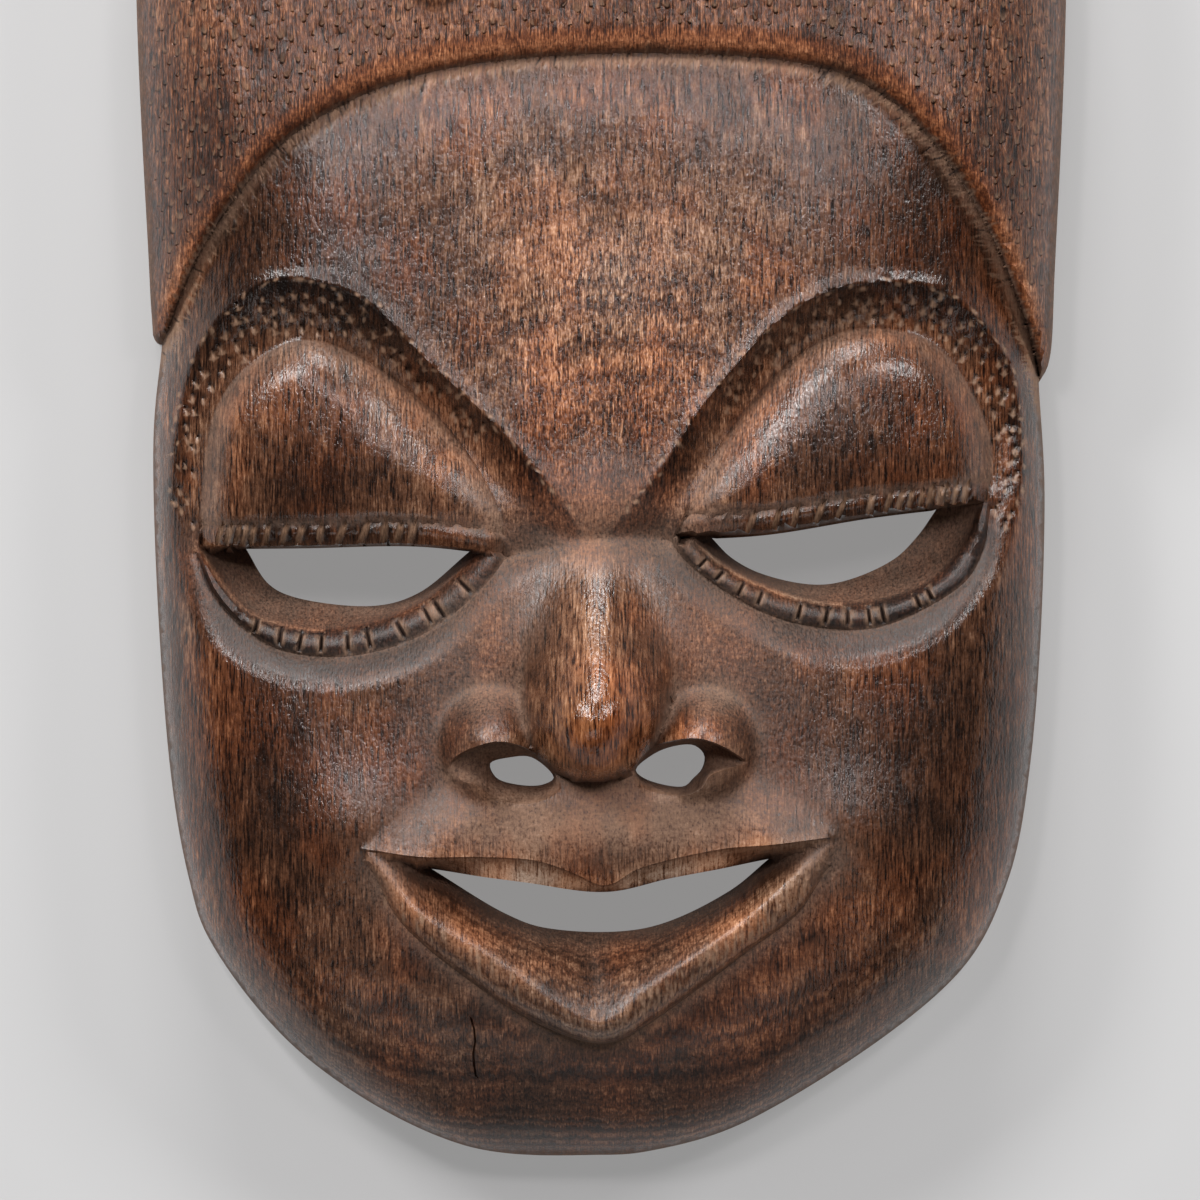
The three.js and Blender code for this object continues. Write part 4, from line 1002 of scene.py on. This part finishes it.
def hollows(x, y, height):
    """How far each place lies below what is round it: near by, within 2 mm, and further off, within 7 mm."""
    gap = 1.0
    low, high = outline.low - 12, outline.high + 12
    columns, rows = np.arange(low[0], high[0], gap), np.arange(low[1], high[1], gap)
    grid_x, grid_y = np.meshgrid(columns, rows)
    surface = front_height(grid_x.ravel(), grid_y.ravel()).reshape(grid_x.shape)

    def blurred(field, spread):
        reach = np.arange(-3 * spread, 3 * spread + 1)
        weights = np.exp(-0.5 * (reach / spread) ** 2)
        weights /= weights.sum()
        for axis in (0, 1):
            field = np.apply_along_axis(lambda line: np.convolve(line, weights, mode="same"), axis, field)
        return field

    def sampled(field):
        u, v = (x - low[0]) / gap, (y - low[1]) / gap
        i, j = u.astype(int), v.astype(int)
        s, t = u - i, v - j
        return mix(mix(field[j, i], field[j, i + 1], s), mix(field[j + 1, i], field[j + 1, i + 1], s), t)

    return tuple(sampled(blurred(surface, spread)) - height for spread in (2, 6))


def in_channel(x, y):
    """Where the gouged channels under the brows are, as shares."""
    share = np.zeros(len(x))
    for eye in eyes:
        inside = eye.ridge.holds(x, y) & ~eye.lid_loop.holds(x, y) & ~eye.bead_loop.holds(x, y)
        share += inside * ease(-6, 8, y)
    return share


def lower_socket(x, y, eye):
    """The smooth, dusty fall from the eye's ridge to the bead, below the eye line."""
    inside = eye.ridge.holds(x, y) & ~eye.bead_loop.holds(x, y) & ~eye.lid_loop.holds(x, y)
    return inside * ease(10, -2, y) * ease(0, 7, eye.ridge.gap(x, y))


def eye_parts(x, y, eye, channel):
    """The parts of an eye that are lighter or darker, as shares."""
    to_edge, to_ridge = eye.lid_edge.gap(x, y), eye.ridge.gap(x, y)
    on_lid, in_wall = eye.lid_loop.holds(x, y), eye.wall_loop.holds(x, y)
    return dict(
        # Painted shade: the gouged channel darkened close under the brow ridge.
        under_ridge_shade=channel * fade(to_ridge, 4),
        on_ridge=ease(4, 22, y) * fade(to_ridge, 2.2),
        below_ridge=~eye.ridge.holds(x, y) * ease(6, -6, y) * fade(to_ridge, 9),
        socket=lower_socket(x, y, eye),
        band=on_lid & (to_edge < LID.band - 0.6),
        # Painted shade: a dark line in the groove above the lash band.
        band_groove=on_lid * fade(to_edge - LID.band - 0.2, 0.7),
        # Painted highlight along the lower edge of the lash band.
        lid_edge=on_lid * fade(to_edge, 0.7),
        lid_border=fade(eye.lid.gap(x, y) - 2, 2.4),
        bead=eye.bead_loop.holds(x, y) & ~in_wall,
        wall=in_wall,
        wall_edge=fade(eye.bead_inside.gap(x, y), 0.6),
    )


def wood_tone(x, y, worn):
    """How much lighter or darker each place is: in broad areas of the wood, on the handled and gouged parts,
    and where light and shade are painted on the eyes, the hair's edge and the upper lip.
    """
    tone = patches(x, y, TONES) + TONE["worn"] * worn
    channel = in_channel(x, y)
    for eye in eyes:
        tone += sum(TONE[part] * share for part, share in eye_parts(x, y, eye, channel).items())
    for area in nostril_areas:
        tone += TONE["nostril"] * area.holds(x, y)
    distance, side, along = hairline.nearest(x, y)
    away, middle = side * distance, from_ends(along)
    # The hair's own tone, and painted shade in a thin dark line at the foot of the hair's step.
    tone += TONE["hair"] * (side > 0) + TONE["hair_foot_shade"] * fade(away - 0.3, 0.7)
    # Painted light: the bevel under the hair's lip faces down and is lightened.
    tone += mix(*TONE["hair_lip"], ease(0.4, 0.8, middle)) * fade(away - 2.8, 2)
    tone += mix(*TONE["fringe"], ease(0.2, 0.5, middle)) * fade(away + 1.7, 1.4)
    tone += TONE["lip_front"] * lip_front_loop.holds(x, y)
    # Painted light on the underside of the upper lip, which faces down.
    return tone + TONE["under_lip"] * under_upper_lip.holds(x, y)


def ring_strength(x, y):
    """How clearly the growth rings show: in the arches of the forehead and on the chin."""
    arches = 1.0 * hump(x, y, 4, 66, 52, 34) * ease(ARCH_FOOT, ARCH_FOOT + 12, y)
    levels = (0.8 * hump(x, y, 0, -138, 110, 34) + 0.4) * ease(-62, -90, y)
    return arches + levels


def ring_place(x, y, z):
    """The number of the growth ring that each place lies in."""
    arches = (y + ARCH_BOW * (x - ARCH_TOP_X) ** 2) / ARCH_GAP
    levels = (z + 0.05 * y + 0.02 * abs(x)) / LEVEL_GAP
    return np.where(y > ARCH_FOOT, arches, levels)


def fibre_strength(x, y):
    """How clearly the light dashes of the fibres show: most on the forehead, hardly on the muzzle."""
    return np.clip(0.35 + 0.75 * hump(x, y, 4, 48, 40, 36) - 0.3 * hump(x, y, 0, -70, 56, 14), 0, 1)


def grain_strength(x, y, dust):
    """How clearly the lines of the grain show: not on worked or dusty surfaces."""
    smooth = patches(x, y, SMOOTH)
    for eye in eyes:
        smooth += lower_socket(x, y, eye) + eye.bead_loop.holds(x, y)
    for area in nostril_areas:
        smooth += area.holds(x, y)
    distance, side, _ = hairline.nearest(x, y)
    smooth += 0.7 * (side > 0) * ease(7, 3, distance)
    return 1 - np.clip(smooth + 0.8 * dust, 0, 0.85) + 0.15 * hump(x, y, -2, -44, 15, 16)


def orange_share(x, y):
    """Where the wood is orange: in some areas and under the hair's lip."""
    distance, side, along = hairline.nearest(x, y)
    lip = hair_lip(along)
    return np.clip(patches(x, y, ORANGE) + 0.7 * (side > 0) * ease(lip, 0.6 * lip, distance), 0, 1)


def dust_share(x, y, near_hollow, far_hollow):
    """Dust lies in the recesses, and more of it where DUSTY says."""
    lying = np.clip(DUST.near_hollow * near_hollow + DUST.far_hollow * far_hollow, 0, 1)
    lying += patches(x, y, DUSTY)
    distance, side, along = hairline.nearest(x, y)
    fringe = mix(*DUST.fringe, ease(0.2, 0.6, from_ends(along)))
    lying += fringe * fade(distance - 1.2, 1.5) * (side <= 0)
    for eye in eyes:
        to_edge = eye.lid_edge.gap(x, y)
        on_lid = eye.lid_loop.holds(x, y)
        lying += DUST.socket * lower_socket(x, y, eye) * fade(eye.bead_outside.gap(x, y), 7)
        lying += DUST.wall * eye.wall_loop.holds(x, y)
        lying += DUST.lid_border * on_lid * fade(eye.lid.gap(x, y), 5) * (to_edge > LID.band)
        lying += DUST.band_groove * on_lid * fade(to_edge - LID.band - 0.4, 1)
    for area in nostril_areas:
        lying += DUST.nostril * area.holds(x, y)
    return np.clip(lying, 0, 1) * (1 - DUST.swept * in_channel(x, y))


def wood_layers(x, y, plain, dark, bare):
    """What the material reads at each point of the front, by name."""
    near_hollow, far_hollow = hollows(x, y, plain)
    worn = np.clip(-0.45 * near_hollow - 0.06 * far_hollow, 0, 1)
    dust = dust_share(x, y, near_hollow, far_hollow)
    return {
        "dust": dust,
        "worn": worn,
        "rings": ring_strength(x, y),
        "ring_place": ring_place(x, y, plain),
        "fibres": fibre_strength(x, y),
        "grain": grain_strength(x, y, dust),
        "orange": orange_share(x, y),
        # Painted shade in the pits and grooves of the cut marks.
        "dirt": dark,
        "bare": bare,
        "tone": wood_tone(x, y, worn),
        "hair": on_hair(x, y) * ease(0, 3, hairline.gap(x, y)),
        "raw": np.zeros(len(x)),
    }


# The mask.
def wall_ring(share, back_z, front_z):
    """The outline at a share of the wall's height, dented a little as by the knife."""
    x, y = outline.points.T
    inward = outline.points.mean(axis=0) - outline.points
    inward /= np.hypot(*inward.T)[:, None]
    dent = DENT.depth * (1 + waves(x + y, y + 40 * share, DENT.width, DENT.length, 9))
    height = mix(back_z[:len(x)], front_z[:len(x)], share)
    return np.column_stack([outline.points + inward * dent[:, None], height])


def wall_faces(loop, start, levels):
    """The faces of a loop's wall, between levels that are given by the numbers of their first points."""
    x, y = loop.points.T
    turns_left = np.sum(x * np.roll(y, -1) - y * np.roll(x, -1)) > 0
    here = start + np.arange(len(x))
    after = np.roll(here, -1)
    if turns_left != (loop is outline):
        here, after = after, here
    return [face for low, high in zip(levels[:-1], levels[1:])
            for face in np.column_stack([low + here, low + after, high + after, high + here]).tolist()]


def make_mask():
    """One closed mesh: the carved front, the hollow back, and the walls between them at every loop."""
    front, back = front_points(), back_points()
    x, y = front.T
    plain = front_height(x, y)
    added = np.array([*cut_marks(x, y), fine_relief(x, y)])
    added[:, :shared] = 0
    # dark is the shade painted into the cut marks.
    cuts, dark, bare, relief = added
    front_z = plain - cuts + relief
    back_z = hollow_height(*back.T)
    rings = [wall_ring(share, back_z, front_z) for share in (1 / 3, 2 / 3)]
    points = np.vstack([np.column_stack([front, front_z]), np.column_stack([back, back_z]), *rings])

    first_back = len(front)
    first_ring = first_back + len(back)
    faces = [*triangles(front).tolist(), *(triangles(back)[:, ::-1] + first_back).tolist()]
    start = 0
    for loop in loops:
        middle_levels = [first_ring, first_ring + len(outline.points)] if loop is outline else []
        faces += wall_faces(loop, start, [first_back, *middle_levels, 0])
        start += len(loop.points)

    low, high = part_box("mask")
    middle = (outline.low + outline.high) / 2
    place = np.array([(low.x + high.x) / 2, (low.y + high.y) / 2, low.z])
    mesh = bpy.data.meshes.new("mask_carving")
    mesh.from_pydata(((points - (*middle, 0)) * MM + place).tolist(), [], faces)
    mesh.validate()
    mesh.shade_smooth()
    mesh.set_sharp_from_angle(angle=math.radians(48))
    for name, values in wood_layers(x, y, plain, dark, bare).items():
        rest = np.full(len(points) - len(front), 1.0 if name == "raw" else 0.0)
        attribute = mesh.attributes.new(name, "FLOAT", "POINT")
        attribute.data.foreach_set("value", np.concatenate([values, rest]).astype(np.float32))
    mask = bpy.data.objects.new("mask_carving", mesh)
    bpy.context.collection.objects.link(mask)
    return mask


# Materials: noises, each with its size along X, Y and Z in millimetres, detail, roughness and distortion.
NOISES = dict(
    fibre=((0.42, 1.9, 8), 2, 0.6),
    line=((0.46, 6, 8), 2, 0.6),
    thread=((1.5, 16, 16), 3, 0.65),
    broad=((14, 50, 30), 3, 0.5, 0.5),
    patch=((22, 30, 30), 3, 0.6),
    blotch=((4.5, 7.5, 7), 3, 0.65),
    speck=((0.62, 1, 0.7), 2, 0.7),
    cross=((4, 1.2, 3), 2, 0.6, 1.2),
    ripple=((0.8, 1.6, 1.2), 2, 0.55),
)
LAYERS = ("dust", "worn", "rings", "ring_place", "fibres", "grain", "orange", "dirt", "bare", "tone", "hair",
          "raw")
# Colours of the wood by its tone, of raw wood, the tints, of what lies on the wood, and of the shade painted
# into the cut marks.
WOOD = [(0.0, (0.007, 0.003, 0.0018)), (0.25, (0.030, 0.0115, 0.0058)), (0.5, (0.098, 0.040, 0.020)),
        (0.75, (0.27, 0.142, 0.082)), (1.0, (0.52, 0.35, 0.25))]
RAW_WOOD = [(0.2, (0.09, 0.045, 0.026)), (0.5, (0.20, 0.112, 0.068)), (0.8, (0.34, 0.21, 0.135))]
RED_TINT = (1.12, 0.90, 0.74, 1)
GREY_TINT = (0.96, 1.0, 1.02, 1)
ORANGE_TINT = (1.20, 0.93, 0.68, 1)
DUST_COLOUR = (0.25, 0.155, 0.105, 1)
CHIP_COLOUR = (0.31, 0.185, 0.115, 1)
CUT_SHADE_COLOUR = (0.008, 0.004, 0.003, 1)
BUMP_HEIGHT = 0.18 * MM


class Graph:
    """A material's nodes, made in the order that they are used."""

    def __init__(self, name):
        self.material = bpy.data.materials.new(name)
        self.material.use_nodes = True
        self.tree = self.material.node_tree
        self.shader = self.tree.nodes["Principled BSDF"]

    def put(self, socket, value):
        if isinstance(value, bpy.types.NodeSocket):
            self.tree.links.new(value, socket)
        else:
            socket.default_value = value

    def node(self, kind, inputs=(), **settings):
        made = self.tree.nodes.new(kind)
        for name, value in settings.items():
            setattr(made, name, value)
        for name, value in dict(inputs).items():
            self.put(made.inputs[name], value)
        return made

    def layer(self, name):
        return self.node("ShaderNodeAttribute", attribute_name=name).outputs["Fac"]

    def math(self, operation, *values):
        return self.node("ShaderNodeMath", enumerate(values), operation=operation).outputs[0]

    def add(self, total, value, strength=1.0):
        """The total with a strength of the value added."""
        return self.math("MULTIPLY_ADD", value, strength, total)

    def about(self, value, middle):
        """The value as a change up or down from its middle."""
        return self.math("SUBTRACT", value, middle)

    def step(self, value, low, high, first=0.0, last=1.0):
        inputs = {"Value": value, "From Min": low, "From Max": high, "To Min": first, "To Max": last}
        return self.node("ShaderNodeMapRange", inputs, interpolation_type="SMOOTHSTEP").outputs["Result"]

    def tinted(self, colour, tint):
        return self.colour_mix(1.0, colour, tint, blend="MULTIPLY")

    def colour_mix(self, share, first, second, blend="MIX"):
        made = self.node("ShaderNodeMix", data_type="RGBA", blend_type=blend)
        for index, value in ((0, share), (6, first), (7, second)):
            self.put(made.inputs[index], value)
        return made.outputs[2]

    def ramp(self, value, stops):
        made = self.node("ShaderNodeValToRGB", {0: value})
        elements = made.color_ramp.elements
        for element, (position, colour) in zip([elements[0], elements[1]], stops):
            element.position, element.color = position, (*colour, 1)
        for position, colour in stops[2:]:
            elements.new(position).color = (*colour, 1)
        return made.outputs["Color"]

    def noise(self, place, size, detail, roughness, distortion=0.0):
        """Noise with features of that size in millimetres along X, Y and Z."""
        inputs = {0: place, 1: [1 / (part * MM) for part in size]}
        scaled = self.node("ShaderNodeVectorMath", inputs, operation="MULTIPLY").outputs[0]
        inputs = {"Vector": scaled, "Scale": 1.0, "Detail": detail, "Roughness": roughness,
                  "Distortion": distortion}
        return self.node("ShaderNodeTexNoise", inputs).outputs["Fac"]


def growth_rings(graph, noise, layer):
    place = layer.ring_place
    for change, shift in ((noise.thread, 2.4), (noise.line, 0.9), (noise.broad, 2.4)):
        place = graph.add(place, change, shift)
    inputs = {"W": place, "Scale": 1.0, "Detail": 1.0}
    bands = graph.node("ShaderNodeTexNoise", inputs, noise_dimensions="1D").outputs["Fac"]
    return graph.step(bands, 0.34, 0.62)


def wood_lightness(graph, noise, layer, worked):
    """The wood's tone with its fibres, grain lines, pores, rings and broad changes."""
    # The tone layer carries painted light and shade as well as the wood's own tone.
    tone = graph.math("ADD", 0.44, layer.tone)
    dashes = graph.math("MULTIPLY", graph.about(noise.fibre, 0.5), 1.6)
    lines = graph.add(graph.math("MULTIPLY", noise.line, 0.9), noise.thread, 0.5)
    lines = graph.math("ADD", lines, graph.step(noise.line, 0.44, 0.34, 0.0, -0.30))
    stipple = graph.add(graph.math("MULTIPLY", noise.speck, 0.8), noise.cross, 0.5)
    banding = graph.math("MULTIPLY", graph.about(growth_rings(graph, noise, layer), 0.55), 0.24)
    strands = graph.math("MULTIPLY", graph.about(noise.fibre, 0.5), 0.5)
    changes = ((dashes, layer.fibres), (graph.about(lines, 0.70), layer.grain),
               (graph.about(stipple, 0.65), worked), (graph.about(noise.broad, 0.5), 0.26),
               (graph.about(noise.patch, 0.5), 0.32), (graph.about(noise.blotch, 0.5), 0.34),
               (banding, layer.rings), (strands, layer.hair))
    for change, strength in changes:
        tone = graph.add(tone, change, strength)
    return graph.math("ADD", tone, graph.step(noise.speck, 0.40, 0.30, 0.0, -0.14))


def wood_colour(graph, noise, layer, tone, dusty):
    colour = graph.ramp(tone, WOOD)
    reddish = graph.step(graph.add(noise.patch, layer.hair, 0.22), 0.40, 0.62)
    colour = graph.colour_mix(reddish, graph.tinted(colour, GREY_TINT), graph.tinted(colour, RED_TINT))
    colour = graph.colour_mix(layer.orange, colour, graph.tinted(colour, ORANGE_TINT))
    colour = graph.colour_mix(graph.math("MULTIPLY", dusty, 0.72), colour, DUST_COLOUR)
    chipped = graph.math("MULTIPLY", layer.bare, graph.step(noise.fibre, 0.3, 0.6, 0.5, 1.0))
    colour = graph.colour_mix(chipped, colour, CHIP_COLOUR)
    # Painted shade: the cut marks' pits and grooves darkened nearly to black.
    colour = graph.colour_mix(graph.math("MULTIPLY", layer.dirt, 0.85), colour, CUT_SHADE_COLOUR)
    return graph.colour_mix(layer.raw, colour, graph.ramp(tone, RAW_WOOD))


def wood_material():
    """Dark waxed hardwood: growth rings, fibres along Y, dust in the recesses, gloss on the rises, and light
    and shade painted into the cut marks and some creases and faces.
    """
    graph = Graph("carved_wood")
    place = graph.node("ShaderNodeTexCoord").outputs["Object"]
    noise = Named(**{name: graph.noise(place, *form) for name, form in NOISES.items()})
    layer = Named(**{name: graph.layer(name) for name in LAYERS})
    worked = graph.math("SUBTRACT", 1.0, layer.grain)
    dusty = graph.math("MULTIPLY", layer.dust, graph.step(noise.speck, 0.30, 0.64, 0.3, 1.0))
    tone = wood_lightness(graph, noise, layer, worked)
    graph.put(graph.shader.inputs["Base Color"], wood_colour(graph, noise, layer, tone, dusty))

    rough = graph.step(noise.speck, 0.30, 0.70, 0.17, 0.29)
    for cause, strength in ((dusty, 0.5), (layer.hair, 0.16), (worked, 0.30), (layer.worn, -0.05),
                            (layer.bare, 0.25), (layer.raw, 0.4)):
        rough = graph.add(rough, cause, strength)
    graph.put(graph.shader.inputs["Roughness"], graph.math("MINIMUM", rough, 0.9))
    graph.shader.inputs["Specular IOR Level"].default_value = 0.5

    bumps = graph.math("MULTIPLY", noise.fibre, 0.5)
    for part, strength in ((noise.line, 0.5), (noise.speck, 0.4), (noise.blotch, 1.2), (noise.ripple, 1.25)):
        bumps = graph.add(bumps, part, strength)
    bumps = graph.add(bumps, graph.math("MULTIPLY", noise.line, layer.hair), 2.2)
    bump = graph.node("ShaderNodeBump", {"Height": bumps, "Strength": 0.8, "Distance": BUMP_HEIGHT})
    graph.put(graph.shader.inputs["Normal"], bump.outputs["Normal"])
    return graph.material


def floor_material():
    graph = Graph("pale_floor")
    graph.shader.inputs["Base Color"].default_value = (0.32, 0.32, 0.32, 1)
    graph.shader.inputs["Emission Color"].default_value = (1, 1, 1, 1)
    graph.shader.inputs["Emission Strength"].default_value = FLOOR_GLOW
    graph.shader.inputs["Roughness"].default_value = 0.75
    graph.shader.inputs["Specular IOR Level"].default_value = 0.2
    return graph.material


# The stage: floor, lights and camera.
FLOOR_SIZE = 8.0
FLOOR_GLOW = 0.26
PHOTO_WIDTH = 1200
PIXEL = 0.25 * MM
PHOTO_CREASE = (602, 545)
CAMERA_DISTANCE = 4.0
SENSOR = 36
FACE_LEVEL = 0.045
WHITE = (1, 1, 1)
PINKISH = (1.0, 0.95, 0.96)
WORLD_LIGHT = 0.04
LIGHT_TARGET = (0, -0.02, 0.05)
# Lights: place, width and length in metres, power in watts and colour.
LIGHTS = dict(
    left_key=((-1.30, 1.25, 1.45), (0.6, 0.5), 35, WHITE),
    right_key=((1.40, 1.00, 1.40), (0.6, 0.5), 22, WHITE),
    top_light=((-0.07, 1.8, 0.9), (0.7, 0.5), 28, WHITE),
    low_fill=((0, -1.7, 1.5), (1.4, 0.7), 5, WHITE),
    left_strip=((-0.50, 0.60, 1.40), (0.10, 0.4), 1.8, PINKISH),
    right_strip=((0.60, 0.45, 1.40), (0.10, 0.4), 0.9, PINKISH),
    left_glint=((-0.27, 0.36, 1.45), (0.06, 0.18), 4, PINKISH),
    right_glint=((0.34, 0.30, 1.45), (0.06, 0.16), 2, PINKISH),
)


def add_floor():
    half = FLOOR_SIZE / 2
    corners = [(-half, -half, 0), (half, -half, 0), (half, half, 0), (-half, half, 0)]
    mesh = bpy.data.meshes.new("floor")
    mesh.from_pydata(corners, [], [(0, 1, 2, 3)])
    mesh.materials.append(floor_material())
    floor = bpy.data.objects.new("floor", mesh)
    bpy.context.collection.objects.link(floor)


def add_lights():
    for name, (place, size, power, colour) in LIGHTS.items():
        light = bpy.data.lights.new(name, "AREA")
        light.shape = "RECTANGLE"
        light.size, light.size_y = size
        light.energy = power
        light.color = colour
        lamp = bpy.data.objects.new(name, light)
        lamp.location = place
        lamp.rotation_euler = (Vector(LIGHT_TARGET) - Vector(place)).to_track_quat("-Z", "Y").to_euler()
        bpy.context.collection.objects.link(lamp)
    world = bpy.data.worlds.new("studio")
    world.use_nodes = True
    background = world.node_tree.nodes["Background"]
    background.inputs["Color"].default_value = (*WHITE, 1)
    background.inputs["Strength"].default_value = WORLD_LIGHT
    bpy.context.scene.world = world


def add_camera():
    """Straight above the photograph's middle, with its frame at the level of the face."""
    middle = (outline.low + outline.high) / 2 * MM
    across = (PHOTO_WIDTH / 2 - PHOTO_CREASE[0]) * PIXEL
    along = (PHOTO_CREASE[1] - PHOTO_WIDTH / 2) * PIXEL
    camera = bpy.data.cameras.new("camera")
    camera.sensor_width = SENSOR
    camera.lens = SENSOR * CAMERA_DISTANCE / (PHOTO_WIDTH * PIXEL)
    camera.clip_end = 20
    view = bpy.data.objects.new("camera", camera)
    view.location = (across - middle[0], along - middle[1], FACE_LEVEL + CAMERA_DISTANCE)
    bpy.context.collection.objects.link(view)
    bpy.context.scene.camera = view


bpy.context.scene.view_settings.view_transform = "Standard"
add_camera()
add_floor()
add_lights()
mask = make_mask()
mask.data.materials.append(wood_material())
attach(mask, "root")
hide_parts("mask")
